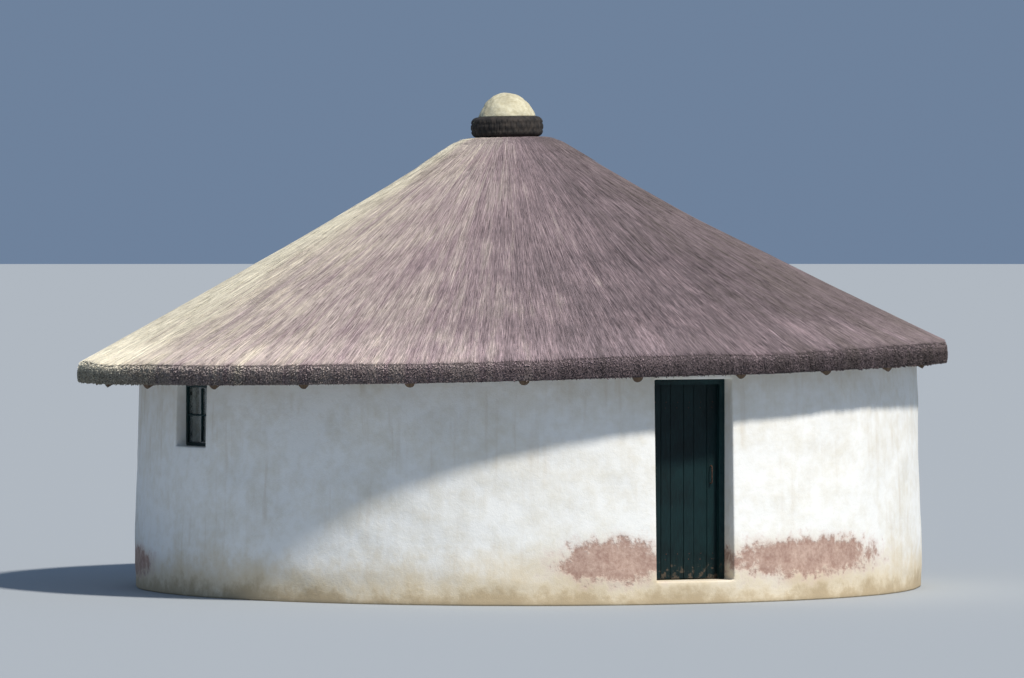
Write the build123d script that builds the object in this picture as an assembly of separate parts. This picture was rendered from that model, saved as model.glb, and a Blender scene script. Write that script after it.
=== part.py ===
from build123d import *
import os
from math import cos, radians, sin, sqrt, tan

# A round thatched hut: a whitewashed earth wall, one plank door, two small windows, and a
# conical roof of poles, laths and grass whose tip is closed by an old tyre filled with mortar.
# Millimetres and degrees. +Z is up. The origin is on the axis of the wall, at ground level.
# The door faces -Y. A bearing is turned from the door's direction towards +X, seen from above.

# Wall
WALL_INNER_RADIUS = 3270.0
WALL_TOP_THICKNESS = 250.0
WALL_BATTER = 55.0  # the wall is this much thicker at the ground
WALL_HEIGHT = 2040.0
BACK_WALL_PIECES = 3

# Floor and doorway
FLOOR_HEIGHT = 200.0
DOORWAY_WIDTH = 740.0
LINTEL_DEPTH = 95.0
LINTEL_BEARING = 150.0  # of the lintel on the wall at each side of the doorway
CONTACT_GAP = 0.3  # left between curved faces that seat on each other

# Door frame
FRAME_DEPTH = 100.0
FRAME_FACE = 33.0
STOP_LAP = 18.0  # how far the stop covers the edge of the door
STOP_GAP = 5.0

# Door
BOARD_THICKNESS = 20.0
LEDGE_THICKNESS = 22.0
LEDGE_WIDTH = 120.0
LEDGE_FROM_END = 190.0
LEDGE_END_GAP = 30.0
BRACE_WIDTH = 110.0
HINGE_SIDE_GAP = 5.0
LATCH_SIDE_GAP = 8.0
DOOR_TOP_GAP = 5.0
DOOR_BOTTOM_GAP = 10.0

# Tee hinges
PIN_RADIUS = 4.0
PIN_CLEARANCE = 0.1
KNUCKLE_RADIUS = 7.0
KNUCKLE_LENGTH = 32.0
KNUCKLE_END_GAP = 0.5
KNUCKLE_STANDOFF = 1.0
STRAP_LENGTH = 310.0
STRAP_THICKNESS = 3.5
PLATE_WIDTH = 24.0

# Pull handle
HANDLE_LENGTH = 150.0
HANDLE_REACH = 38.0
HANDLE_ROD_RADIUS = 5.0
HANDLE_BEND_RADIUS = 16.0
HANDLE_FROM_EDGE = 70.0
HANDLE_HEIGHT = 900.0  # above the foot of the door

# Windows
WINDOW_BEARING = 82.0
WINDOW_WIDTH = 530.0
WINDOW_HEIGHT = 550.0
WINDOW_HEAD_DEPTH = 170.0  # of the wall over each window
WINDOW_RECESS = 100.0
SASH_FACE = 38.0
SASH_DEPTH = 50.0
GLASS_THICKNESS = 4.0
GLASS_REBATE = 10.0
GLASS_EDGE_GAP = 1.5

# Wall plate
PLATE_THICKNESS = 60.0
PLATE_BOARD_WIDTH = 100.0
PLATE_JOINT_GAP = 0.6
PLATE_INSET = 6.0  # of its corners from the outer face of the wall

# Roof frame
ROOF_SLOPE = 28.0
ROOF_LEAN = 1.3
ROOF_LEAN_BEARING = -114.0  # the way that the tip leans
MAIN_RAFTERS = 12
RAFTER_BUTT_DIAMETER = 90.0
RAFTER_TIP_DIAMETER = 62.0
RAFTER_TAIL_RADIUS = 3800.0
RAFTER_SEAT_DEPTH = 8.0
JACK_TOP_RADIUS = 1750.0
HUB_RADIUS = 122.0
HUB_LENGTH = 300.0
LATH_THICKNESS = 25.0
LATH_WIDTH = 40.0
LATH_SPACING = 300.0  # along the slope
LATH_TOP_RADIUS = 420.0

# Thatch
EAVE_RADIUS = 3950.0
EAVE_THICKNESS = 170.0
EAVE_EDGE_RADIUS = 55.0
THATCH_SAG = 55.0  # how far the slope is hollow below a straight line
THATCH_TOP_RADIUS = 480.0
THATCH_TOP_THICKNESS = 235.0
THATCH_BORE_RADIUS = 260.0
THATCH_STEPS = 10  # straight lengths up the hollow slope
THATCH_SECTORS = ("front", "front_right", "right", "back_right",
                  "back", "back_left", "left", "front_left")
CROWN_BASE_RADIUS = 740.0
CROWN_TOP_RADIUS = 430.0
CROWN_RISE = 45.0  # of its flat top above the thatch at the top radius

# Tyre and its filling
TYRE_RADIUS = 330.0
TYRE_WIDTH = 190.0
TYRE_BEAD_RADIUS = 185.0
TYRE_WALL = 14.0
TYRE_TREAD_CROWN = 6.0
TYRE_SIDE_BULGE = 22.0
TYRE_SHOULDER = 26.0
MORTAR_DOME_RADIUS = 265.0
MORTAR_DOME_HEIGHT = 215.0

# Sizes that follow from those above
WALL_TOP_RADIUS = WALL_INNER_RADIUS + WALL_TOP_THICKNESS
WALL_BASE_RADIUS = WALL_TOP_RADIUS + WALL_BATTER
DOORWAY_TOP = WALL_HEIGHT - LINTEL_DEPTH
WINDOW_TOP = WALL_HEIGHT - WINDOW_HEAD_DEPTH
WINDOW_SILL_HEIGHT = WINDOW_TOP - WINDOW_HEIGHT
BEYOND = 2 * EAVE_RADIUS  # a length that reaches past the whole hut
RAFTERS = 2 * MAIN_RAFTERS
RAFTER_STEP = 360 / RAFTERS
FRAME_INNER_Y = -sqrt(WALL_INNER_RADIUS**2 - (DOORWAY_WIDTH / 2) ** 2)
LEAF_THICKNESS = BOARD_THICKNESS + LEDGE_THICKNESS
STOP_Y = FRAME_INNER_Y - LEAF_THICKNESS - STOP_GAP
REBATE_HALF_WIDTH = DOORWAY_WIDTH / 2 - FRAME_FACE
SIGHT_HALF_WIDTH = REBATE_HALF_WIDTH - STOP_LAP
REBATE_TOP = DOORWAY_TOP - FRAME_FACE
SIGHT_TOP = REBATE_TOP - STOP_LAP
LEAF_LEFT = -REBATE_HALF_WIDTH + HINGE_SIDE_GAP
LEAF_RIGHT = REBATE_HALF_WIDTH - LATCH_SIDE_GAP
LEAF_BOTTOM = FLOOR_HEIGHT + DOOR_BOTTOM_GAP
LEAF_TOP = REBATE_TOP - DOOR_TOP_GAP
BOARD_INNER_Y = FRAME_INNER_Y - LEDGE_THICKNESS
BOARD_OUTER_Y = BOARD_INNER_Y - BOARD_THICKNESS
PIVOT_X = -REBATE_HALF_WIDTH + HINGE_SIDE_GAP / 2
PIVOT_Y = FRAME_INNER_Y + KNUCKLE_RADIUS + KNUCKLE_STANDOFF
LOW_LEDGE_Z = LEAF_BOTTOM + LEDGE_FROM_END
HIGH_LEDGE_Z = LEAF_TOP - LEDGE_FROM_END
PLATE_TOP = WALL_HEIGHT + PLATE_THICKNESS
PLATE_OUTER_APOTHEM = (WALL_TOP_RADIUS - PLATE_INSET) * cos(radians(RAFTER_STEP / 2))
PLATE_INNER_APOTHEM = PLATE_OUTER_APOTHEM - PLATE_BOARD_WIDTH
SEAT_RADIUS = PLATE_INNER_APOTHEM + PLATE_BOARD_WIDTH / 2
SLOPE = radians(ROOF_SLOPE)


def rafter_diameter(radius):
    """Diameter of a pole where its centre line is this far from the roof's axis."""
    share = (RAFTER_TAIL_RADIUS - radius) / (RAFTER_TAIL_RADIUS - HUB_RADIUS)
    return RAFTER_BUTT_DIAMETER + share * (RAFTER_TIP_DIAMETER - RAFTER_BUTT_DIAMETER)


def rafter_top(radius):
    """Height of the straight line that the tops of all rafters share."""
    at_seat = PLATE_TOP - RAFTER_SEAT_DEPTH + rafter_diameter(SEAT_RADIUS) / cos(SLOPE)
    return at_seat + (SEAT_RADIUS - radius) * tan(SLOPE)


def lath_bottom(radius):
    """Height of the underside of the laths where they cross a rafter."""
    return rafter_top(radius) + CONTACT_GAP / cos(SLOPE)


def lath_top(radius):
    """Height of the top of the laths where they cross a rafter."""
    return lath_bottom(radius) + LATH_THICKNESS / cos(SLOPE)


def thatch_underside(radius):
    """Height of the underside of the thatch."""
    return lath_top(radius) + CONTACT_GAP / cos(SLOPE)


EAVE_BOTTOM = thatch_underside(EAVE_RADIUS)
EAVE_TOP = EAVE_BOTTOM + EAVE_THICKNESS
THATCH_TOP = thatch_underside(THATCH_TOP_RADIUS) + THATCH_TOP_THICKNESS
CROWN_TOP = THATCH_TOP + CROWN_RISE
# The point on the axis from which the roof swings and still rests on the level plate.
LEAN_CENTRE = PLATE_TOP - SEAT_RADIUS / tan(SLOPE)


def toward(bearing, distance=1.0):
    """The point at this distance from the axis on a bearing, at ground level."""
    return Vector(distance * sin(radians(bearing)), -distance * cos(radians(bearing)), 0)


def block(x, y, z):
    """A box between the two limits given for each axis."""
    size = [high - low for low, high in (x, y, z)]
    corner = [low for low, high in (x, y, z)]
    return Pos(*corner) * Box(*size, align=(Align.MIN, Align.MIN, Align.MIN))


def wedge(start, end):
    """Everything between two bearings that are less than 120 degrees apart."""
    outline = Polyline((0, 0), toward(start, BEYOND), toward(end, BEYOND), close=True)
    return extrude(make_face(outline), BEYOND)


def turned(shape, bearing):
    """A shape that was made in front of the door, moved round to a bearing."""
    return Rot(0, 0, bearing) * shape


def leaned(shape):
    """A piece of the upright roof, swung about the lean centre to where it really sits."""
    pivot = Axis((0, 0, LEAN_CENTRE), toward(ROOF_LEAN_BEARING + 90))
    return shape.rotate(pivot, ROOF_LEAN)


def spun(outline):
    """A solid of revolution about Z from an outline in the XZ plane."""
    return revolve(make_face(Plane.XZ * outline), Axis.Z)


def full_wall():
    """The whole ring of wall, battered on its outer face."""
    return spun(Polyline(
        (WALL_INNER_RADIUS, 0),
        (WALL_BASE_RADIUS, 0),
        (WALL_TOP_RADIUS, WALL_HEIGHT),
        (WALL_INNER_RADIUS, WALL_HEIGHT),
        close=True,
    ))


def radial_slot(width, low, high):
    """A slot through the front of the wall, between two heights."""
    return block((-width / 2, width / 2), (-BEYOND, -WALL_INNER_RADIUS / 2), (low, high))


def wall_pieces():
    """The wall as segments: beside the doorway, at each window, and round the back."""
    ring = full_wall()
    doorway = radial_slot(DOORWAY_WIDTH, 0, DOORWAY_TOP)
    lintel = radial_slot(DOORWAY_WIDTH + 2 * LINTEL_BEARING, DOORWAY_TOP, WALL_HEIGHT)
    pieces = {
        "door_threshold": ring & radial_slot(DOORWAY_WIDTH, 0, FLOOR_HEIGHT),
        "door_lintel": ring & lintel,
    }
    bay = radial_slot(WINDOW_WIDTH, 0, WALL_HEIGHT)
    below = radial_slot(WINDOW_WIDTH, 0, WINDOW_SILL_HEIGHT)
    above = radial_slot(WINDOW_WIDTH, WINDOW_TOP, WALL_HEIGHT)
    solid_ring = ring - doorway - lintel
    for side, sign in (("left", -1), ("right", 1)):
        bearing = sign * WINDOW_BEARING
        pieces[f"wall_under_{side}_window"] = ring & turned(below, bearing)
        pieces[f"wall_over_{side}_window"] = ring & turned(above, bearing)
        solid_ring -= turned(bay, bearing)
        ends = sorted((0, bearing))
        pieces[f"wall_front_{side}"] = wedge(*ends)
    step = (360 - 2 * WINDOW_BEARING) / BACK_WALL_PIECES
    for index in range(BACK_WALL_PIECES):
        start = WINDOW_BEARING + index * step
        name = ("wall_back_right", "wall_back", "wall_back_left")[index]
        pieces[name] = wedge(start, start + step)
    for name in list(pieces):
        if name.startswith(("wall_front", "wall_back")):
            pieces[name] = solid_ring & pieces[name]
    return pieces


def floor():
    """The built-up floor inside the wall."""
    radius = WALL_INNER_RADIUS - CONTACT_GAP
    return Cylinder(radius, FLOOR_HEIGHT, align=(Align.CENTER, Align.CENTER, Align.MIN))


def door_frame():
    """Two jambs and a head, rebated on the room side so that the door shuts on a stop."""
    half = DOORWAY_WIDTH / 2
    depth = (FRAME_INNER_Y - FRAME_DEPTH, FRAME_INNER_Y)
    whole = block((-half, half), depth, (FLOOR_HEIGHT, DOORWAY_TOP))
    sight = block((-SIGHT_HALF_WIDTH, SIGHT_HALF_WIDTH), depth, (FLOOR_HEIGHT, SIGHT_TOP))
    rebate = block(
        (-REBATE_HALF_WIDTH, REBATE_HALF_WIDTH), (STOP_Y, FRAME_INNER_Y), (FLOOR_HEIGHT, REBATE_TOP)
    )
    frame = whole - sight - rebate
    uprights = (FLOOR_HEIGHT, SIGHT_TOP)
    return {
        "door_jamb_left": frame & block((-half, 0), depth, uprights),
        "door_jamb_right": frame & block((0, half), depth, uprights),
        "door_head": frame & block((-half, half), depth, (SIGHT_TOP, DOORWAY_TOP)),
    }


def door_leaf():
    """The boards of the door with two ledges and a brace on the room side."""
    boards = block((LEAF_LEFT, LEAF_RIGHT), (BOARD_OUTER_Y, BOARD_INNER_Y), (LEAF_BOTTOM, LEAF_TOP))
    ledge_x = (LEAF_LEFT + LEDGE_END_GAP, LEAF_RIGHT - LEDGE_END_GAP)
    ledge_y = (BOARD_INNER_Y, FRAME_INNER_Y)
    half = LEDGE_WIDTH / 2
    low = block(ledge_x, ledge_y, (LOW_LEDGE_Z - half, LOW_LEDGE_Z + half))
    high = block(ledge_x, ledge_y, (HIGH_LEDGE_Z - half, HIGH_LEDGE_Z + half))
    foot, head = LOW_LEDGE_Z + half, HIGH_LEDGE_Z - half
    brace_outline = Polyline(
        (ledge_x[0], foot),
        (ledge_x[0] + BRACE_WIDTH, foot),
        (ledge_x[1], head),
        (ledge_x[1] - BRACE_WIDTH, head),
        close=True,
    )
    brace_face = Pos(0, FRAME_INNER_Y, 0) * make_face(Plane.XZ * brace_outline)
    brace = extrude(brace_face, LEDGE_THICKNESS, dir=(0, -1, 0))
    return {"door_boards": boards, "door_ledge_low": low, "door_ledge_high": high, "door_brace": brace}


def upright_cylinder(radius, low, high):
    """A cylinder on the line of the hinge pins."""
    foot = (Align.CENTER, Align.CENTER, Align.MIN)
    return Pos(PIVOT_X, PIVOT_Y, low) * Cylinder(radius, high - low, align=foot)


def tee_hinge(middle):
    """One hinge at this height: a strap for the door, and a plate with its pin for the jamb."""
    half = KNUCKLE_LENGTH / 2
    metal = (FRAME_INNER_Y, FRAME_INNER_Y + STRAP_THICKNESS)
    strap_z = (middle - half + KNUCKLE_END_GAP, middle + half - KNUCKLE_END_GAP)
    strap = block((PIVOT_X, PIVOT_X + STRAP_LENGTH), metal, strap_z)
    strap += upright_cylinder(KNUCKLE_RADIUS, *strap_z)
    strap -= upright_cylinder(PIN_RADIUS + PIN_CLEARANCE, middle - half, middle + half)
    low, high = middle - 3 * half, middle + 3 * half
    tongue_left = PIVOT_X - KNUCKLE_RADIUS - 2 * KNUCKLE_STANDOFF
    plate = block((tongue_left - PLATE_WIDTH, tongue_left), metal, (low, high))
    for ends in ((low, middle - half), (middle + half, high)):
        plate += block((tongue_left, PIVOT_X), metal, ends)
        plate += upright_cylinder(KNUCKLE_RADIUS, *ends)
    plate += upright_cylinder(PIN_RADIUS, low, high)
    return strap, plate


def pull_handle():
    """A bent rod handle on the outer face of the door, near its free edge."""
    x = LEAF_RIGHT - HANDLE_FROM_EDGE
    half = HANDLE_LENGTH / 2
    out = BOARD_OUTER_Y - HANDLE_REACH
    middle = LEAF_BOTTOM + HANDLE_HEIGHT
    corners = [
        (x, BOARD_OUTER_Y, middle - half),
        (x, out, middle - half),
        (x, out, middle + half),
        (x, BOARD_OUTER_Y, middle + half),
    ]
    path = FilletPolyline(*corners, radius=HANDLE_BEND_RADIUS)
    section = Plane(origin=corners[0], z_dir=(0, -1, 0)) * Circle(HANDLE_ROD_RADIUS)
    return sweep(section, path)


def window(bearing):
    """A fixed sash and its pane, set back in the wall on a bearing."""
    half = WINDOW_WIDTH / 2
    clear = half - SASH_FACE
    outer = -(WALL_TOP_RADIUS - WINDOW_RECESS)
    depth = (outer, outer + SASH_DEPTH)
    low, high = WINDOW_SILL_HEIGHT, WINDOW_TOP
    seat = outer + SASH_DEPTH / 2
    rebate = clear + GLASS_REBATE
    sash = block((-half, half), depth, (low, high))
    sash -= block((-clear, clear), depth, (low + SASH_FACE, high - SASH_FACE))
    lap = SASH_FACE - GLASS_REBATE
    sash -= block((-rebate, rebate), (outer, seat), (low + lap, high - lap))
    pane_half = rebate - GLASS_EDGE_GAP
    pane_inset = lap + GLASS_EDGE_GAP
    pane = block(
        (-pane_half, pane_half), (seat - GLASS_THICKNESS, seat), (low + pane_inset, high - pane_inset)
    )
    return turned(sash, bearing), turned(pane, bearing)


def wall_plate():
    """Short boards laid end to end round the top of the wall, one under each rafter."""
    joint = radians(RAFTER_STEP / 2)
    inner, outer = PLATE_INNER_APOTHEM, PLATE_OUTER_APOTHEM
    cut = PLATE_JOINT_GAP / 2 / cos(joint)
    board = Polyline(
        (-inner * tan(joint) + cut, -inner),
        (inner * tan(joint) - cut, -inner),
        (outer * tan(joint) - cut, -outer),
        (-outer * tan(joint) + cut, -outer),
        close=True,
    )
    first = Pos(0, 0, WALL_HEIGHT) * extrude(make_face(board), PLATE_THICKNESS)
    return [turned(first, (index + 0.5) * RAFTER_STEP) for index in range(RAFTERS)]


def pole(top_radius):
    """A tapered pole in front of the door, its top on the shared line, butt end outwards."""
    ends = []
    for radius in (RAFTER_TAIL_RADIUS, top_radius):
        thickness = rafter_diameter(radius)
        ends.append((radius, rafter_top(radius) - thickness / 2 / cos(SLOPE), thickness / 2))
    (out_r, out_z, out_half), (in_r, in_z, in_half) = ends
    start = Vector(0, -out_r, out_z)
    along = Vector(0, -in_r, in_z) - start
    butt = Plane(origin=start, z_dir=along)
    foot = (Align.CENTER, Align.CENTER, Align.MIN)
    return butt * Cone(out_half, in_half, along.length, align=foot)


def rafters():
    """Main rafters that butt on the hub and shorter jack rafters between them, cut to sit level."""
    hub_clear = Pos(0, 0, rafter_top(0) - HUB_LENGTH) * Cylinder(
        HUB_RADIUS + CONTACT_GAP, 2 * HUB_LENGTH, align=(Align.CENTER, Align.CENTER, Align.MIN)
    )
    main = pole(0.0) - hub_clear
    jack = pole(JACK_TOP_RADIUS)
    bearers = Compound(children=wall_plate())
    groups = {"main_rafters": [], "jack_rafters": []}
    for index in range(RAFTERS):
        name, made = ("jack_rafters", jack) if index % 2 else ("main_rafters", main)
        groups[name].append(leaned(turned(made, (index + 0.5) * RAFTER_STEP)) - bearers)
    return groups


def hub():
    """The short log at the tip that the main rafters butt on."""
    top = rafter_top(HUB_RADIUS)
    log = Cylinder(HUB_RADIUS, HUB_LENGTH, align=(Align.CENTER, Align.CENTER, Align.MAX))
    return Pos(0, 0, top) * log


def lath_rings():
    """Split poles bent round the rafters in level rings, one above the other."""
    half, thick = LATH_WIDTH / 2, LATH_THICKNESS
    rings = []
    radius = RAFTER_TAIL_RADIUS - half
    while radius > LATH_TOP_RADIUS:
        inner, outer = radius - half * cos(SLOPE), radius + half * cos(SLOPE)
        feet = [(inner, lath_bottom(inner)), (outer, lath_bottom(outer))]
        tops = [(x + thick * sin(SLOPE), z + thick * cos(SLOPE)) for x, z in reversed(feet)]
        rings.append(leaned(spun(Polyline(*feet, *tops, close=True))))
        radius -= LATH_SPACING * cos(SLOPE)
    return rings


def beam_filling():
    """Mud packed on the wall between the rafters, up to the laths."""
    ring = Cylinder(WALL_TOP_RADIUS, WALL_HEIGHT, align=(Align.CENTER, Align.CENTER, Align.MIN))
    ring -= Cylinder(WALL_INNER_RADIUS, BEYOND)
    ring = Pos(0, 0, WALL_HEIGHT) * ring
    below_laths = spun(Polyline(
        (0, 0),
        (EAVE_RADIUS, 0),
        (EAVE_RADIUS, rafter_top(EAVE_RADIUS)),
        (0, rafter_top(0)),
        close=True,
    ))
    half = RAFTER_BUTT_DIAMETER / 2 + CONTACT_GAP
    slot = block((-half, half), (-EAVE_RADIUS, -WALL_INNER_RADIUS / 2), (0, BEYOND))
    filling = (ring & leaned(below_laths)) - Compound(children=wall_plate())
    for index in range(RAFTERS):
        filling -= leaned(turned(slot, (index + 0.5) * RAFTER_STEP))
    return list(filling.solids())


def thatch_surface():
    """Points up the outer face of the thatch, from the eave to the top."""
    run = EAVE_RADIUS - THATCH_TOP_RADIUS
    points = []
    for index in range(THATCH_STEPS + 1):
        share = index / THATCH_STEPS
        hollow = 4 * THATCH_SAG * share * (1 - share)
        height = EAVE_TOP + share * (THATCH_TOP - EAVE_TOP) - hollow
        points.append((EAVE_RADIUS - share * run, height))
    return points


def thatch_ring():
    """The whole coat of thatch with the trimmed eave, before it is parted into sectors."""
    outline = Polyline(
        (THATCH_BORE_RADIUS, thatch_underside(THATCH_BORE_RADIUS)),
        (EAVE_RADIUS, EAVE_BOTTOM),
        *thatch_surface(),
        (THATCH_BORE_RADIUS, THATCH_TOP),
        close=True,
    )
    section = make_face(outline)
    section = fillet(section.vertices().sort_by(Axis.X)[-2:], EAVE_EDGE_RADIUS)
    return revolve(Plane.XZ * section, Axis.Z)


def thatch_sectors():
    """The coat of thatch in equal sectors, the first of them over the door."""
    ring = thatch_ring()
    step = 360 / len(THATCH_SECTORS)
    sectors = {}
    for index, name in enumerate(THATCH_SECTORS):
        part = ring & wedge((index - 0.5) * step, (index + 0.5) * step)
        sectors[f"thatch_{name}"] = leaned(part)
    return sectors


def thatch_crown():
    """The bundle of thatch that covers the hub and gives the tyre a level bed."""
    covered = [point for point in thatch_surface() if point[0] < CROWN_BASE_RADIUS]
    hub_top = rafter_top(HUB_RADIUS) + CONTACT_GAP
    outline = Polyline(
        (0, hub_top),
        (HUB_RADIUS, hub_top),
        (THATCH_BORE_RADIUS, thatch_underside(THATCH_BORE_RADIUS)),
        (THATCH_BORE_RADIUS, THATCH_TOP),
        *reversed(covered),
        (CROWN_TOP_RADIUS, CROWN_TOP),
        (0, CROWN_TOP),
        close=True,
    )
    return leaned(spun(outline))


def tyre_outline(inset):
    """Points up the section of the tyre from the lower bead to the upper one, set in by a wall."""
    shoulder = TYRE_RADIUS - TYRE_SHOULDER
    flank = (TYRE_BEAD_RADIUS + shoulder) / 2
    low = [
        (TYRE_BEAD_RADIUS, TYRE_SIDE_BULGE + inset),
        (flank - TYRE_SHOULDER, inset),
        (shoulder - inset / 2, inset),
        (TYRE_RADIUS - TYRE_TREAD_CROWN - inset, TYRE_SHOULDER + inset / 2),
    ]
    high = [(x, TYRE_WIDTH - z) for x, z in reversed(low)]
    crown = (TYRE_RADIUS - inset, TYRE_WIDTH / 2)
    return [(x, z + CROWN_TOP) for x, z in low + [crown] + high]


def tyre():
    """The tyre, lying flat on the crown of the roof."""
    return leaned(spun(Polyline(*tyre_outline(0), *reversed(tyre_outline(TYRE_WALL)), close=True)))


def mortar_cap():
    """The mortar that fills the tyre and stands over it in a low dome."""
    rim = CROWN_TOP + TYRE_WIDTH
    lower_bead, *_, upper_flank, upper_bead = tyre_outline(0)
    side = Polyline(
        (0, CROWN_TOP),
        (TYRE_BEAD_RADIUS, CROWN_TOP),
        lower_bead,
        *tyre_outline(TYRE_WALL),
        upper_bead,
        upper_flank,
        (MORTAR_DOME_RADIUS, rim),
    )
    sphere = (MORTAR_DOME_RADIUS**2 + MORTAR_DOME_HEIGHT**2) / 2 / MORTAR_DOME_HEIGHT
    top = rim + MORTAR_DOME_HEIGHT
    halfway = (sphere * sin(radians(45)), top - sphere * (1 - cos(radians(45))))
    over = ThreePointArc((MORTAR_DOME_RADIUS, rim), halfway, (0, top))
    back = Line((0, top), (0, CROWN_TOP))
    return leaned(revolve(Plane.XZ * make_face([side, over, back]), Axis.Z))


def all_parts():
    """Every node's solids, by name."""
    parts = wall_pieces()
    parts["floor"] = floor()
    parts.update(door_frame())
    parts.update(door_leaf())
    for end, middle in (("low", LOW_LEDGE_Z), ("high", HIGH_LEDGE_Z)):
        strap, plate = tee_hinge(middle)
        parts[f"hinge_strap_{end}"] = strap
        parts[f"hinge_plate_{end}"] = plate
    parts["door_handle"] = pull_handle()
    for side, sign in (("left", -1), ("right", 1)):
        sash, pane = window(sign * WINDOW_BEARING)
        parts[f"{side}_window_sash"] = sash
        parts[f"{side}_window_pane"] = pane
    parts["wall_plate"] = wall_plate()
    parts.update(rafters())
    parts["beam_filling"] = beam_filling()
    parts["roof_hub"] = leaned(hub())
    parts["roof_laths"] = lath_rings()
    parts.update(thatch_sectors())
    parts["thatch_crown"] = thatch_crown()
    parts["cap_tyre"] = tyre()
    parts["cap_mortar"] = mortar_cap()
    return parts


def one_shape(made):
    """A single solid, or a compound of the solids that share a node."""
    pieces = made if isinstance(made, list) else [made]
    solids = [solid for piece in pieces for solid in piece.solids()]
    return solids[0] if len(solids) == 1 else Compound(children=solids)


os.makedirs("parts", exist_ok=True)
for node, made in all_parts().items():
    export_step(one_shape(made), f"parts/{node}.step")
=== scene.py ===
"""Looks of a round thatched hut, dressed over its solid model.

The model brings every piece at its real size: wall, floor, door, windows, roof frame, thatch and
the tyre on the tip. This script gives the finish of each surface and the forms that are too fine
for the solids: the hand-floated wall, the boards of the door, the glazing bars, the stems of the
thatch, the tread of the tyre and the trowelled mortar in it. Lengths are metres, +Z is up, the
door faces -Y, and a bearing is turned from the door's direction towards +X.
"""

import logging
import math
from collections.abc import Iterable
from dataclasses import dataclass
from enum import Enum
from functools import cached_property

import bpy
import numpy as np
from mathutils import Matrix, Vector


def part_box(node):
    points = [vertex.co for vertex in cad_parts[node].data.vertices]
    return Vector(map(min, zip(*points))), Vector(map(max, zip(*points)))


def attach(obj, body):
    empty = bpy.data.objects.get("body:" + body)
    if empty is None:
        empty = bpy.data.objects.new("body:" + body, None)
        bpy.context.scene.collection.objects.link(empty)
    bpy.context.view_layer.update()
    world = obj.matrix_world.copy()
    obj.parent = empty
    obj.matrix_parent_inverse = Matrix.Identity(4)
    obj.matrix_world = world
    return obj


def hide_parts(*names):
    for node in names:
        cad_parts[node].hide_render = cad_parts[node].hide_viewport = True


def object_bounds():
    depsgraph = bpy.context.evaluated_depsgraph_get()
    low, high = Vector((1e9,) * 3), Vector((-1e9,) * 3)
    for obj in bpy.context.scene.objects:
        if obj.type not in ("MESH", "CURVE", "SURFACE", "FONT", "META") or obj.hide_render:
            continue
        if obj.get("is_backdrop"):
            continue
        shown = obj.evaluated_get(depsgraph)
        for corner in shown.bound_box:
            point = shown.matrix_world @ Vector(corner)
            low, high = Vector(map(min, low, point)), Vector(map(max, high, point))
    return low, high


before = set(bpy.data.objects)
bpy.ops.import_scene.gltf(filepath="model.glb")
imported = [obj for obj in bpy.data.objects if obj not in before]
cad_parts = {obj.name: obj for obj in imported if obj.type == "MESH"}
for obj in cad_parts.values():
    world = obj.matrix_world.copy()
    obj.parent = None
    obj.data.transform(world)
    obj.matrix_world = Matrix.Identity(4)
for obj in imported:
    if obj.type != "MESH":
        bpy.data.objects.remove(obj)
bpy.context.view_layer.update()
LOG = logging.getLogger("hut")
MM = 0.001
FULL_TURN = 2 * math.pi
WINDOW_BEARING = 82.0
Socket = bpy.types.NodeSocket

# What the lattice noise mixes the numbers of a lattice corner with.
HASH_AXES = np.array([73856093, 19349663, 83492791])
HASH_SEED = 40503
HASH_ROUNDS = ((15, 2246822519), (13, 3266489917))
HASH_WORD = 0xFFFFFFFF


class Body(Enum):
    """The bodies of the model."""

    HUT = "hut"
    DOOR = "door"


class Domain(Enum):
    """What the numbers of an attribute belong to."""

    POINT = "POINT"
    FACE = "FACE"


def linear(code: str) -> tuple[float, float, float, float]:
    """Turns an sRGB hex colour into the linear values that a shader socket takes.

    Args:
        code: six hex digits, such as "F4F1E8".

    Returns:
        Red, green, blue and an alpha of 1.
    """
    parts = [int(code[start:start + 2], 16) / 255 for start in (0, 2, 4)]
    bent = [part / 12.92 if part <= 0.04045 else ((part + 0.055) / 1.055) ** 2.4 for part in parts]
    return (*bent, 1.0)


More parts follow.
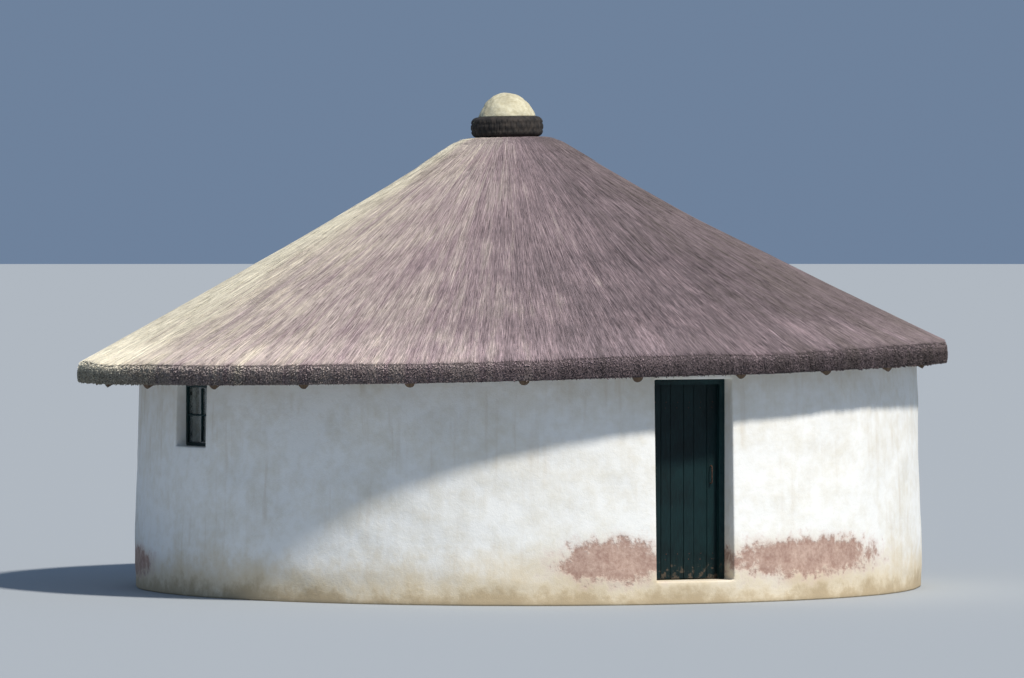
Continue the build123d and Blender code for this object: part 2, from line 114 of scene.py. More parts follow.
@dataclass(frozen=True)
class Finish:
    """A finish of the hut. Its material is made once, when a piece first wears it."""

    name: str

    @cached_property
    def tree(self) -> bpy.types.NodeTree:
        """The node tree of the material, at first with only the Principled shader."""
        material = bpy.data.materials.new(self.name)
        material.use_nodes = True
        return material.node_tree

    @cached_property
    def material(self) -> bpy.types.Material:
        """The finished material."""
        self.fill(self.tree.nodes["Principled BSDF"], self.mix())
        return bpy.data.materials[self.name]

    @cached_property
    def here(self) -> Socket:
        """Object coordinates, which are places on the hut in metres."""
        return self.add("TexCoord", out="Object")

    def fill(self, node: bpy.types.Node, inputs: dict) -> None:
        """Fills a node's inputs.

        Args:
            node: the node.
            inputs: input name or number to the output it is linked from, its value or a hex colour.
        """
        for name, value in inputs.items():
            if isinstance(value, Socket):
                self.tree.links.new(value, node.inputs[name])
            else:
                node.inputs[name].default_value = linear(value) if isinstance(value, str) else value

    def add(self, kind: str, *values: object, stops: tuple = (), out: str = "", **named: object) -> Socket:
        """Adds a node with its settings, values and links.

        Args:
            kind: the node's type less its first word, such as "Math".
            values: what fills its inputs, in their order.
            stops: position and hex colour of each stop, for a colour ramp.
            out: name of the output that is wanted, if it isn't the first in use.
            named: the node's settings, and inputs under their capitalised names.

        Returns:
            The wanted output.
        """
        node = self.tree.nodes.new("ShaderNode" + kind)
        for name in [name for name in named if name.islower()]:
            setattr(node, name, named.pop(name))
        self.fill(node, dict(enumerate(values)) | named)
        if stops:
            ramp = node.color_ramp.elements
            for element, (position, code) in zip((ramp[0], ramp[1]), (stops[0], stops[-1])):
                element.position, element.color = position, linear(code)
            for position, code in stops[1:-1]:
                ramp.new(position).color = linear(code)
        return node.outputs[out] if out else next(output for output in node.outputs if output.enabled)

    def mix(self) -> dict:
        """Adds the nodes of the finish.

        Returns:
            What fills the shader's inputs.
        """
        raise NotImplementedError


@dataclass(frozen=True)
class LimewashedEarth(Finish):
    """Limewash over hand-floated earth plaster: dead matt and chalky, dull where rain splashes.

    Brush coats leave it cloudy, water from the eave runs down it, the foot takes the colour of
    the soil, and the red-brown earth shows where feet and hands have rubbed it bare.
    """

    name: str = "limewash_over_earth_plaster"
    white: str = "F9F8F3"
    thin_white: str = "EAE5D8"
    run_stain: str = "DACFBE"
    splash: str = "E0CFB0"
    ground: str = "BCA888"
    earth: str = "997466"
    pale_earth: str = "CFB3A3"
    room: str = "C9BCA4"
    soot: str = "6E6254"
    cloud: float = 0.55
    brush: float = 110 * MM
    flake: float = 30 * MM
    grit: float = 9 * MM  # sand of 2 mm would not show, so it is drawn this coarse
    run_width: float = 60 * MM
    splash_height: float = 0.56
    ground_height: float = 0.16
    stir: float = 0.42  # what the noises take off the height on average
    room_radius: float = 3.32
    patches: tuple = (
        ((-0.76, -3.50, 0.38), (0.50, 0.50, 0.19)),
        ((1.22, -3.36, 0.38), (0.95, 0.80, 0.17)),
        ((-3.45, 0.9, 0.25), (0.5, 0.6, 0.13)),
        ((1.9, 3.0, 0.26), (0.7, 0.5, 0.15)),
        ((-1.2, 3.3, 0.22), (0.6, 0.4, 0.12)),
        ((3.5, 0.4, 0.24), (0.4, 0.6, 0.12)),
    )

    def rubbed_distance(self, fine: Socket, flakes: Socket) -> Socket:
        """Distance from the nearest rubbed patch's centre, measured in the patch's own reach.

        Two noises roughen it, so that a limit set on it has a ragged edge.

        Args:
            fine: noise of the brush's size.
            flakes: noise of the flakes' size.

        Returns:
            The output that holds the distance.
        """
        nearest: Socket | float = 1000.0
        for centre, reach in self.patches:
            local = self.add("VectorMath", self.here, centre, operation="SUBTRACT")
            local = self.add("VectorMath", local, reach, operation="DIVIDE")
            distance = self.add("VectorMath", local, operation="LENGTH")
            nearest = self.add("Math", nearest, distance, operation="MINIMUM")
        rough: Socket | float = -1.2
        for noise, weight in ((fine, 1.7), (flakes, 0.6)):
            rough = self.add("Math", noise, weight, rough, operation="MULTIPLY_ADD")
        return self.add("Math", nearest, rough, operation="ADD")

    def mix(self) -> dict:
        """Lays each coat and stain over the one before, from the white to the smoke inside.

        Returns:
            What fills the shader's inputs.
        """
        add, here = self.add, self.here
        broad, fine, flakes, grit = (
            add("TexNoise", Vector=here, Scale=1 / size, Detail=detail, Roughness=roughness)
            for size, detail, roughness in ((self.cloud, 4.0, 0.5), (self.brush, 5.0, 0.6),
                                            (self.flake, 4.0, 0.65), (self.grit, 2.0, 0.5)))

        # The coat is thick in some strokes and thin in others.
        thin = add("MapRange", add("Math", broad, fine, operation="ADD"), 0.85, 1.35)

        # Water from the eave leaves faint runs, drawn out along the height.
        drawn_down = add("Mapping", here, Scale=(1.0, 1.0, 0.07))
        runs = add("TexNoise", Vector=drawn_down, Scale=1 / self.run_width, Detail=3.0)
        runs = add("MapRange", runs, 0.52, 0.8, 0.0, 0.6)
        runs = add("Math", runs, add("MapRange", broad, 0.42, 0.62), operation="MULTIPLY")

        # Rain splash and dust are strongest at the ground, their upper edge broken by the noises.
        stirred = add("SeparateXYZ", here, out="Z")
        for noise, weight in ((broad, -0.5), (fine, -0.25), (flakes, -0.1)):
            stirred = add("Math", noise, weight, stirred, operation="MULTIPLY_ADD")
        splash, ground = (
            add("MapRange", stirred, top - self.stir, -self.stir, 0.0, most, interpolation_type="SMOOTHSTEP")
            for top, most in ((self.splash_height, 1.0), (self.ground_height, 0.85)))

        # Round each rubbed patch is a soft stain of pale earth, and bare earth is at its heart.
        distance = self.rubbed_distance(fine, flakes)
        stained = add("MapRange", distance, 1.45, 0.6, 0.0, 0.8, interpolation_type="SMOOTHSTEP")
        bare = add("MapRange", distance, 1.0, 0.72, 0.0, 0.8)
        depth = add("MapRange", add("Math", fine, flakes, operation="ADD"), 0.75, 1.3)
        earth = add("Mix", Factor=depth, A=self.earth, B=self.pale_earth, data_type="RGBA")

        # Inside the room the wall is duller, and smoke has browned it higher up.
        flat = add("VectorMath", here, (1.0, 1.0, 0.0), operation="MULTIPLY")
        radius = add("VectorMath", flat, operation="LENGTH")
        inside = add("MapRange", radius, self.room_radius + 0.02, self.room_radius)
        smoke = add("MapRange", stirred, 0.4, 1.7, 0.0, 0.75)
        room = add("Mix", Factor=smoke, A=self.room, B=self.soot, data_type="RGBA")

        colour = self.white
        for share, layer in ((thin, self.thin_white), (runs, self.run_stain), (splash, self.splash),
                             (ground, self.ground), (stained, self.pale_earth), (bare, earth),
                             (inside, room)):
            colour = add("Mix", Factor=share, A=colour, B=layer, data_type="RGBA")
        relief = fine
        for noise, weight in ((grit, 0.3), (flakes, 0.4), (bare, -0.8)):
            relief = add("Math", noise, weight, relief, operation="MULTIPLY_ADD")
        bump = add("Bump", Height=relief, Strength=0.8, Distance=6 * MM)
        return {"Base Color": colour, "Normal": bump, "Roughness": 0.94, "Specular IOR Level": 0.2}


@dataclass(frozen=True)
class GrassThatch(Finish):
    """Weathered grass stems combed down the slope: silvery and fibrous, with painted sheen making one side
    cream and painted shade greying the other.

    Under the roof the stems have kept their straw colour and been browned by smoke. The cut face of
    the eave is a close crowd of stem ends, darkened by painted shade, with painted shadow in the gaps.
    """

    name: str = "combed_grass_thatch"
    stops: tuple = ((0.0, "554B49"), (0.16, "776B69"), (0.32, "88797B"), (0.45, "A28F91"),
                    (0.59, "BAABA5"), (0.74, "D1C5B4"), (0.89, "E9E0C9"))
    smoked: str = "7C6240"
    sooty: str = "3A2D20"
    stem_end: float = 9 * MM
    streaks_round: float = 34.0
    stems_round: float = 260.0
    patch: float = 0.5
    axis_shift: tuple = (0.16, -0.07, 0.0)
    painted_sheen_side: tuple = (-0.914, 0.407, 0.0)

    def mix(self) -> dict:
        """Colours the stems by painted sheen and shade on each side, by streak and tone, and the underside
        and cut face apart.

        Returns:
            What fills the shader's inputs.
        """
        add, here = self.add, self.here
        centred = add("Mapping", here, Location=self.axis_shift)
        flat = add("VectorMath", centred, (1.0, 1.0, 0.0), operation="MULTIPLY")
        radius = add("VectorMath", flat, operation="LENGTH")
        way = add("VectorMath", flat, operation="NORMALIZE")

        # The direction round the roof, blown up, with a little of the distance from the tip:
        # noise on it is drawn out into streaks that run down the slope and has no seam.
        noises = []
        for blow_up, drift, detail in ((self.streaks_round, 1.0, 3.0), (self.stems_round, 7.0, 2.0)):
            spread = add("VectorMath", way, Scale=blow_up, operation="SCALE")
            lift = add("CombineXYZ", 0.0, 0.0, add("Math", radius, drift, operation="MULTIPLY"))
            spot = add("VectorMath", spread, lift, operation="ADD")
            noises.append(add("TexNoise", Vector=spot, Scale=1.0, Detail=detail, Roughness=0.65))
        streaks, stems = noises
        patches = add("TexNoise", Vector=here, Scale=1 / self.patch, Detail=5.0, Roughness=0.6)

        # Painted sheen makes the roof cream towards the camera's left, and painted shade darkens it towards
        # the right; weathered patches and streaks lie over both.
        side = add("VectorMath", way, self.painted_sheen_side, operation="DOT_PRODUCT")
        painted_light_and_weathering = add("MapRange", side, 0.78, 0.97, 0.0, 0.26)
        for source, weight in ((side, 0.24), (patches, 0.4), (streaks, 0.5)):
            painted_light_and_weathering = add("Math", source, weight, painted_light_and_weathering, operation="MULTIPLY_ADD")
        colour = add("ValToRGB", painted_light_and_weathering, stops=self.stops)

        # Each stem has a tone of its own, and the slope grows lighter towards the eave.
        tone, cut_face, room_side = (
            add("Attribute", out="Fac", attribute_name=name, attribute_type="GEOMETRY")
            for name in ("tone", "cut_face", "room_side"))
        shade = add("Math", tone, 0.8, 0.58, operation="MULTIPLY_ADD")
        fibre = add("MapRange", stems, 0.32, 0.68, 0.66, 1.24)
        near_eave = add("MapRange", radius, 3.3, 3.85, 0.9, 1.2)
        for factor in (fibre, near_eave):
            shade = add("Math", shade, factor, operation="MULTIPLY")

        # The cut face is darkened with painted shade, and painted shadow fills the gaps between its stem
        # ends.
        ends = add("TexVoronoi", here, Scale=1 / self.stem_end)
        end_shade_and_tone = add("SeparateColor", ends.node.outputs["Color"])
        end_shade_and_tone = add("MapRange", end_shade_and_tone, 0.0, 1.0, 0.25, 0.6)
        gap_shadow = add("MapRange", ends, 0.4, 0.8, 1.0, 0.3)
        end_shade_and_tone = add("Math", end_shade_and_tone, gap_shadow, operation="MULTIPLY")
        shade = add("Mix", Factor=cut_face, A=shade, B=end_shade_and_tone, data_type="FLOAT")

        weathered = add("VectorMath", colour, Scale=shade, operation="SCALE")
        under = add("Mix", Factor=stems, A=self.sooty, B=self.smoked, data_type="RGBA")
        colour = add("Mix", Factor=room_side, A=weathered, B=under, data_type="RGBA")
        bump = add("Bump", Height=stems, Strength=0.6, Distance=4 * MM)
        return {"Base Color": colour, "Normal": bump, "Roughness": 0.85, "Specular IOR Level": 0.2}


@dataclass(frozen=True)
class WornPaint(Finish):
    """Brushed oil paint on sawn boards: a dull gloss with drag marks, rubbed to grey wood low down."""

    paint: str
    faded: str
    wood: str = "4F473D"
    brush: float = 5 * MM
    chip: float = 50 * MM
    cloud: float = 0.35
    rub_top: float = 0.42
    rub_foot: float = 0.2
    wear: float = 0.22

    def mix(self) -> dict:
        """Draws the brush marks out along the height and chips the paint off low down.

        Returns:
            What fills the shader's inputs.
        """
        add, here = self.add, self.here
        drawn_out = add("Mapping", here, Scale=(1.0, 1.0, 0.06))
        grain = add("TexNoise", Vector=drawn_out, Scale=1 / self.brush, Detail=4.0)
        chips = add("TexNoise", Vector=here, Scale=1 / self.chip, Detail=6.0, Roughness=0.65)
        fade = add("TexNoise", Vector=here, Scale=1 / self.cloud, Detail=3.0)
        tint = add("MapRange", add("Math", grain, fade, operation="ADD"), 0.8, 1.25)
        height = add("SeparateXYZ", here, out="Z")
        rub = add("MapRange", height, self.rub_top, self.rub_foot, 0.0, self.wear)
        worn = add("MapRange", add("Math", chips, rub, operation="ADD"), 0.68, 0.74)
        colour = self.paint
        for share, layer in ((tint, self.faded), (worn, self.wood)):
            colour = add("Mix", Factor=share, A=colour, B=layer, data_type="RGBA")
        gloss = add("MapRange", worn, 0.0, 1.0, 0.5, 0.85)
        bump = add("Bump", Height=grain, Strength=0.5, Distance=1.5 * MM)
        return {"Base Color": colour, "Normal": bump, "Roughness": gloss, "Specular IOR Level": 0.25}


@dataclass(frozen=True)
class BareWood(Finish):
    """Debarked gum pole, split lath or sawn board: brown wood with drying cracks along the grain."""

    light: str
    dark: str
    streak: float = 14 * MM
    knot: float = 0.12
    down_slope: bool = True

    def mix(self) -> dict:
        """Runs the grain down the roof's slope, or else lets it follow plain noise.

        Returns:
            What fills the shader's inputs.
        """
        add, source = self.add, self.here
        if self.down_slope:
            flat = add("VectorMath", source, (1.0, 1.0, 0.0), operation="MULTIPLY")
            way = add("VectorMath", flat, operation="NORMALIZE")
            source = add("VectorMath", way, Scale=3.0, operation="SCALE")
        grain = add("TexNoise", Vector=source, Scale=1 / self.streak, Detail=5.0, Roughness=0.6)
        knots = add("TexNoise", Vector=self.here, Scale=1 / self.knot, Detail=3.0)
        blend = add("Mix", Factor=0.4, A=grain, B=knots, data_type="FLOAT")
        colour = add("ValToRGB", blend, stops=((0.32, self.dark), (0.68, self.light)))
        bump = add("Bump", Height=blend, Strength=0.6, Distance=3 * MM)
        return {"Base Color": colour, "Normal": bump, "Roughness": 0.8}


@dataclass(frozen=True)
class RoughMineral(Finish):
    """Dried mud, a cement skin or mortar: matt, grainy and stained."""

    light: str
    dark: str
    stain: str
    lump: float = 60 * MM
    grain: float = 7 * MM
    cloud: float = 0.3
    depth: float = 5 * MM

    def mix(self) -> dict:
        """Shades the lumps and lays a cloudy stain over them.

        Returns:
            What fills the shader's inputs.
        """
        add, here = self.add, self.here
        lumps = add("TexNoise", Vector=here, Scale=1 / self.lump, Detail=5.0, Roughness=0.6)
        grain = add("TexNoise", Vector=here, Scale=1 / self.grain, Detail=2.0)
        broad = add("TexNoise", Vector=here, Scale=1 / self.cloud, Detail=4.0)
        colour = add("ValToRGB", lumps, stops=((0.3, self.dark), (0.62, self.light)))
        dirty = add("MapRange", broad, 0.48, 0.7, 0.0, 0.75)
        colour = add("Mix", Factor=dirty, A=colour, B=self.stain, data_type="RGBA")
        relief = add("Math", grain, 0.4, lumps, operation="MULTIPLY_ADD")
        bump = add("Bump", Height=relief, Strength=0.8, Distance=self.depth)
        return {"Base Color": colour, "Normal": bump, "Roughness": 0.95, "Specular IOR Level": 0.2}


@dataclass(frozen=True)
class RustedIron(Finish):
    """Strap iron with traces of black paint over brown rust, rough where it flakes."""

    name: str = "rusted_strap_iron"
    rust: str = "6B4330"
    black: str = "23211F"
    flake: float = 8 * MM

    def mix(self) -> dict:
        """Parts the surface into paint and rust, the rust rougher and less like metal.

        Returns:
            What fills the shader's inputs.
        """
        add = self.add
        flakes = add("TexNoise", Vector=self.here, Scale=1 / self.flake, Detail=5.0, Roughness=0.7)
        share = add("MapRange", flakes, 0.42, 0.58)
        colour = add("Mix", Factor=share, A=self.black, B=self.rust, data_type="RGBA")
        metal = add("MapRange", share, 0.0, 1.0, 0.6, 0.1)
        rough = add("MapRange", share, 0.0, 1.0, 0.5, 0.9)
        bump = add("Bump", Height=flakes, Strength=0.5, Distance=0.6 * MM)
        return {"Base Color": colour, "Normal": bump, "Metallic": metal, "Roughness": rough}


@dataclass(frozen=True)
class DustyGlass(Finish):
    """Thin window glass: clear and glossy, with a film of dust in clouds over it."""

    name: str = "dusty_window_glass"
    dust: str = "6E675B"
    clear: str = "DCE6E2"
    cloud: float = 50 * MM

    def mix(self) -> dict:
        """Lets less light through, and scatters it more, where the dust is thick.

        Returns:
            What fills the shader's inputs.
        """
        add = self.add
        film = add("TexNoise", Vector=self.here, Scale=1 / self.cloud, Detail=6.0)
        share = add("MapRange", film, 0.3, 0.8, 0.0, 0.25)
        colour = add("Mix", Factor=share, A=self.clear, B=self.dust, data_type="RGBA")
        passing = add("MapRange", share, 0.0, 0.6, 1.0, 0.3)
        rough = add("MapRange", share, 0.0, 0.5, 0.03, 0.4)
        return {"Base Color": colour, "Transmission Weight": passing, "Roughness": rough, "IOR": 1.5}


@dataclass(frozen=True)
class PerishedRubber(Finish):
    """Old tyre rubber: brown-black, dulled and finely crazed by the sun, dusty in the tread."""

    name: str = "perished_tyre_rubber"
    black: str = "211E1C"
    brown: str = "453D36"
    craze: float = 7 * MM
    cloud: float = 50 * MM

    def mix(self) -> dict:
        """Browns the rubber in clouds and crazes it with the edges of small cells.

        Returns:
            What fills the shader's inputs.
        """
        add, here = self.add, self.here
        cracks = add("TexVoronoi", here, Scale=1 / self.craze, feature="DISTANCE_TO_EDGE")
        dust = add("TexNoise", Vector=here, Scale=1 / self.cloud, Detail=5.0)
        share = add("MapRange", dust, 0.4, 0.75)
        colour = add("Mix", Factor=share, A=self.black, B=self.brown, data_type="RGBA")
        bump = add("Bump", Height=cracks, Strength=0.3, Distance=1 * MM)
        return {"Base Color": colour, "Normal": bump, "Roughness": 0.85}


@dataclass(frozen=True)
class StudioPaint(Finish):
    """The plain matt paint of the studio's floor, which isn't part of the hut."""

    name: str = "studio_floor_paint"
    colour: str = "A9AEB2"

    def mix(self) -> dict:
        """Sets the shader alone, to one matt colour."""
        return {"Base Color": self.colour, "Roughness": 0.9}


class Wear(Enum):
    """The finishes that the hut's pieces wear."""

    LIMEWASH = LimewashedEarth()
    THATCH = GrassThatch()
    DOOR_PAINT = WornPaint("worn_door_paint", "051517", "0E292B")
    FRAME_PAINT = WornPaint("worn_frame_paint", "0A1E20", "173638", wear=0.15)
    POLES = BareWood("smoked_gum_poles", "7C6650", "3E3024")
    LATHS = BareWood("split_pole_laths", "8A7459", "4B3A2A", down_slope=False)
    SAWN = BareWood("sawn_wall_plate", "8B7A63", "5A4937", down_slope=False)
    MUD = RoughMineral("rough_mud_filling", "8B6D55", "5F4737", "A08368")
    FLOOR = RoughMineral("trowelled_cement_floor", "8A8072", "6B6258", "5B4C3D", lump=0.25, depth=2 * MM)
    MORTAR = RoughMineral("sand_and_cement_mortar", "E0D9BD", "C2B898", "9C9174", lump=45 * MM)
    IRON = RustedIron()
    GLASS = DustyGlass()
    RUBBER = PerishedRubber()


# Each node of the model that stays in view, under the finish that it wears.
SHOWN_NODES = {
    Wear.FLOOR: ("floor",),
    Wear.MUD: ("beam_filling",),
    Wear.SAWN: ("wall_plate",),
    Wear.POLES: ("main_rafters", "jack_rafters"),
    Wear.LATHS: ("roof_hub", "roof_laths"),
    Wear.DOOR_PAINT: ("door_ledge_low", "door_ledge_high", "door_brace"),
    Wear.FRAME_PAINT: ("door_jamb_left", "door_jamb_right", "door_head", "left_window_sash",
                       "right_window_sash"),
    Wear.GLASS: ("left_window_pane", "right_window_pane"),
    Wear.IRON: ("hinge_strap_low", "hinge_strap_high", "hinge_plate_low", "hinge_plate_high", "door_handle"),
}


def dress_nodes() -> None:
    """Gives each node that stays in view its material."""
    for wear, names in SHOWN_NODES.items():
        for name in names:
            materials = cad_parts[name].data.materials
            materials.clear()
            materials.append(wear.value.material)
            LOG.info("%s: %s", name, wear.value.name)


def lattice_noise(points: np.ndarray, cell: float, seed: int) -> np.ndarray:
    """Smooth noise between -1 and 1, the same for the same place and seed.

    Every corner of a cubic lattice has a fixed random height. A point takes the heights of the
    eight corners round it, blended along each side by the step 3 t^2 - 2 t^3.

    Args:
        points: places, the last axis being x, y, z.
        cell: side of a lattice cell.
        seed: picks one of many noises.

    Returns:
        One height for each place.
    """
    scaled = points / cell
    base = np.floor(scaled).astype(np.int64)
    step = smoothstep(0, 1, scaled - base)
    total = np.zeros(points.shape[:-1])
    for corner in np.ndindex(2, 2, 2):
        offset = np.array(corner)
        weight = np.prod(np.where(offset == 1, step, 1 - step), axis=-1)
        keys = (base + offset) * HASH_AXES
        mixed = (keys[..., 0] ^ keys[..., 1] ^ keys[..., 2] ^ (seed * HASH_SEED)) & HASH_WORD
        for shift, factor in HASH_ROUNDS:
            mixed = ((mixed ^ (mixed >> shift)) * factor) & HASH_WORD
        total += weight * (((mixed ^ (mixed >> 16)) & 0xFFFFFF) / 0x7FFFFF - 1)
    return total


def circle(count: int) -> np.ndarray:
    """Bearings in radians of places spaced evenly round a full turn."""
    return np.linspace(0, FULL_TURN, count, endpoint=False)


def smoothstep(low: float, high: float, value: np.ndarray) -> np.ndarray:
    """Rises smoothly from 0 at low to 1 at high."""
    t = np.clip((value - low) / (high - low), 0, 1)
    return t * t * (3 - 2 * t)


def squared_circle(turn: np.ndarray, squareness: float) -> tuple[np.ndarray, np.ndarray]:
    """A superellipse: the turn's cosine and sine to the power 2 / squareness, their signs kept."""
    waves = np.array([np.cos(turn), np.sin(turn)])
    return tuple(np.sign(waves) * np.abs(waves) ** (2 / squareness))


def grid_quads(rows: int, columns: int, close_rows: bool = False) -> np.ndarray:
    """Quads between the points of a grid whose columns run round and meet again.

    Args:
        rows: points along the profile.
        columns: points round the turn.
        close_rows: whether the last row is joined to the first.

    Returns:
        One row of four point numbers for each quad, point (i, j) being i * columns + j.
    """
    i = np.arange(rows if close_rows else rows - 1)[:, None]
    j = np.arange(columns)[None, :]
    below, above = i * columns, ((i + 1) % rows) * columns
    after = (j + 1) % columns
    return np.stack([below + j, below + after, above + after, above + j], axis=-1).reshape(-1, 4)


def pole_fans(rows: int, columns: int) -> list[np.ndarray]:
    """Triangles that close a grid of revolution at both ends.

    Args:
        rows: points along the profile.
        columns: points round the turn.

    Returns:
        A fan from the first row to point rows * columns, and one from the last row to the next.
    """
    j = np.arange(columns)
    after = (j + 1) % columns
    count = rows * columns
    last = count - columns
    return [np.stack([np.full_like(j, count), after, j], axis=-1),
            np.stack([np.full_like(j, count + 1), last + j, last + after], axis=-1)]


def spear_faces(count: int) -> np.ndarray:
    """Outward triangles of closed spears with corners left, right, top and tip, in that order."""
    sides = np.array([[0, 2, 1], [0, 1, 3], [1, 2, 3], [2, 0, 3]])
    return (np.arange(count)[:, None, None] * 4 + sides).reshape(-1, 3)


def build_mesh(name: str, points: np.ndarray, faces: Iterable[np.ndarray], smooth: bool = True
               ) -> bpy.types.Object:
    """Makes an object at the origin from arrays of points and faces.

    Args:
        name: name of the piece.
        points: one place a row.
        faces: arrays of faces, each with the same number of corners in all its rows.
        smooth: whether the shading runs over the edges.

    Returns:
        The new object, linked to the scene.
    """
    faces = list(faces)
    counts = np.concatenate([np.full(len(part), part.shape[1]) for part in faces])
    corners = np.concatenate([part.ravel() for part in faces])
    mesh = bpy.data.meshes.new(name)
    mesh.vertices.add(len(points))
    mesh.vertices.foreach_set("co", np.ascontiguousarray(points, dtype=np.float32).ravel())
    mesh.loops.add(len(corners))
    mesh.loops.foreach_set("vertex_index", corners.astype(np.int32))
    mesh.polygons.add(len(counts))
    starts = np.concatenate([[0], np.cumsum(counts)[:-1]])
    mesh.polygons.foreach_set("loop_start", starts.astype(np.int32))
    mesh.polygons.foreach_set("use_smooth", np.full(len(counts), smooth))
    mesh.update(calc_edges=True)
    piece = bpy.data.objects.new(name, mesh)
    bpy.context.scene.collection.objects.link(piece)
    return piece


def set_attribute(piece: bpy.types.Object, name: str, domain: Domain, values: np.ndarray) -> None:
    """Stores one number for each point or face of a piece, under a name that a material reads."""
    layer = piece.data.attributes.new(name, "FLOAT", domain.value)
    layer.data.foreach_set("value", values.astype(np.float32))


def place(piece: bpy.types.Object, wear: Wear, body: Body, replaced: Iterable[str] = ()) -> None:
    """Dresses a piece and puts it on its body.

    Args:
        piece: the object.
        wear: its finish.
        body: the body it rides on.
        replaced: nodes of the model that it stands for.
    """
    piece.data.materials.append(wear.value.material)
    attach(piece, body.value)
    names = list(replaced)
    if names:
        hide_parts(*names)
    LOG.info("%s: %d faces", piece.name, len(piece.data.polygons))


def around(radius: np.ndarray, bearing: np.ndarray, height: np.ndarray) -> np.ndarray:
    """Places at given distances from the axis, bearings in radians and heights."""
    x, y = radius * np.sin(bearing), -radius * np.cos(bearing)
    return np.stack([x, y, np.broadcast_to(height, x.shape)], axis=-1)


def turned(points: np.ndarray, bearing: float) -> np.ndarray:
    """Turns places made in front of the door round to a bearing in degrees."""
    c, s = math.cos(math.radians(bearing)), math.sin(math.radians(bearing))
    return points @ np.array([[c, s, 0.0], [-s, c, 0.0], [0.0, 0.0, 1.0]])


@dataclass(frozen=True)
class RoofForm:
    """The form of the roof, upright, and the lean that it really has.

    The underside is a cone. The outer face runs from the eave to the tip, a little hollow.
    """

    slope: float = math.radians(28.0)
    lean: float = math.radians(1.3)
    lean_bearing: float = math.radians(-114.0)
    lean_centre: float = -4.358
    eave_radius: float = 3.950
    eave_bottom: float = 1.945
    eave_thickness: float = 0.170
    eave_bulge: float = 0.045
    top_radius: float = 0.480
    top_thickness: float = 0.235
    sag: float = 0.055
    bore_radius: float = 0.260
    crown_base_radius: float = 0.740
    crown_top_radius: float = 0.430
    crown_rise: float = 0.045
    crown_edge_dip: float = 0.020
    crown_edge_reach: float = 0.055
    hub_radius: float = 0.122
    lath_depth: float = 0.029

    @property
    def eave_top(self) -> float:
        """Height of the upper edge of the cut face."""
        return self.eave_bottom + self.eave_thickness

    @property
    def top(self) -> float:
        """Height of the outer face at the top radius."""
        return float(self.underside(self.top_radius)) + self.top_thickness

    @property
    def crown_top(self) -> float:
        """Height of the flat bed that the tyre lies on."""
        return self.top + self.crown_rise

    @property
    def hub_top(self) -> float:
        """Height of the top of the log that the rafters meet at."""
        return float(self.underside(self.hub_radius)) - self.lath_depth

    def underside(self, radius: np.ndarray) -> np.ndarray:
        """Height of the underside."""
        return self.eave_bottom + (self.eave_radius - radius) * math.tan(self.slope)

    def outer(self, radius: np.ndarray) -> np.ndarray:
        """Height of the outer face: a straight line less a parabola that is zero at both ends."""
        share = (self.eave_radius - radius) / (self.eave_radius - self.top_radius)
        return self.eave_top + share * (self.top - self.eave_top) - 4 * self.sag * share * (1 - share)

    def crown(self, radius: np.ndarray) -> np.ndarray:
        """Height of the bundle at the tip.

        A straight fall from the edge of the flat bed to the crown's base, no higher than the bed,
        with the edge between them worn round by a bell-shaped dip.

        Args:
            radius: distances from the axis.

        Returns:
            One height for each distance.
        """
        past_edge = radius - self.crown_top_radius
        run = self.crown_base_radius - self.crown_top_radius
        fall = (self.crown_top - self.outer(self.crown_base_radius)) / run
        line = np.minimum(self.crown_top, self.crown_top - past_edge * fall)
        return line - self.crown_edge_dip * np.exp(-((past_edge / self.crown_edge_reach) ** 2))

    def leaned(self, points: np.ndarray) -> np.ndarray:
        """Swings places of the upright roof to where they really are.

        The turn is about a level line through the lean centre, square to the way the tip leans.

        Args:
            points: places of the upright roof.

        Returns:
            The same places on the leaning roof.
        """
        bearing = self.lean_bearing + math.pi / 2
        axis = np.array([math.sin(bearing), -math.cos(bearing), 0.0])
        pivot = np.array([0.0, 0.0, self.lean_centre])
        local = points - pivot
        along = (local @ axis)[..., None] * axis
        across = (local - along) * math.cos(self.lean)
        return along + across + np.cross(axis, local) * math.sin(self.lean) + pivot


ROOF = RoofForm()


@dataclass(frozen=True)
class Opening:
    """A hole through the wall: its bearing in degrees, half width, foot and head."""

    bearing: float
    half_width: float
    foot: float
    head: float


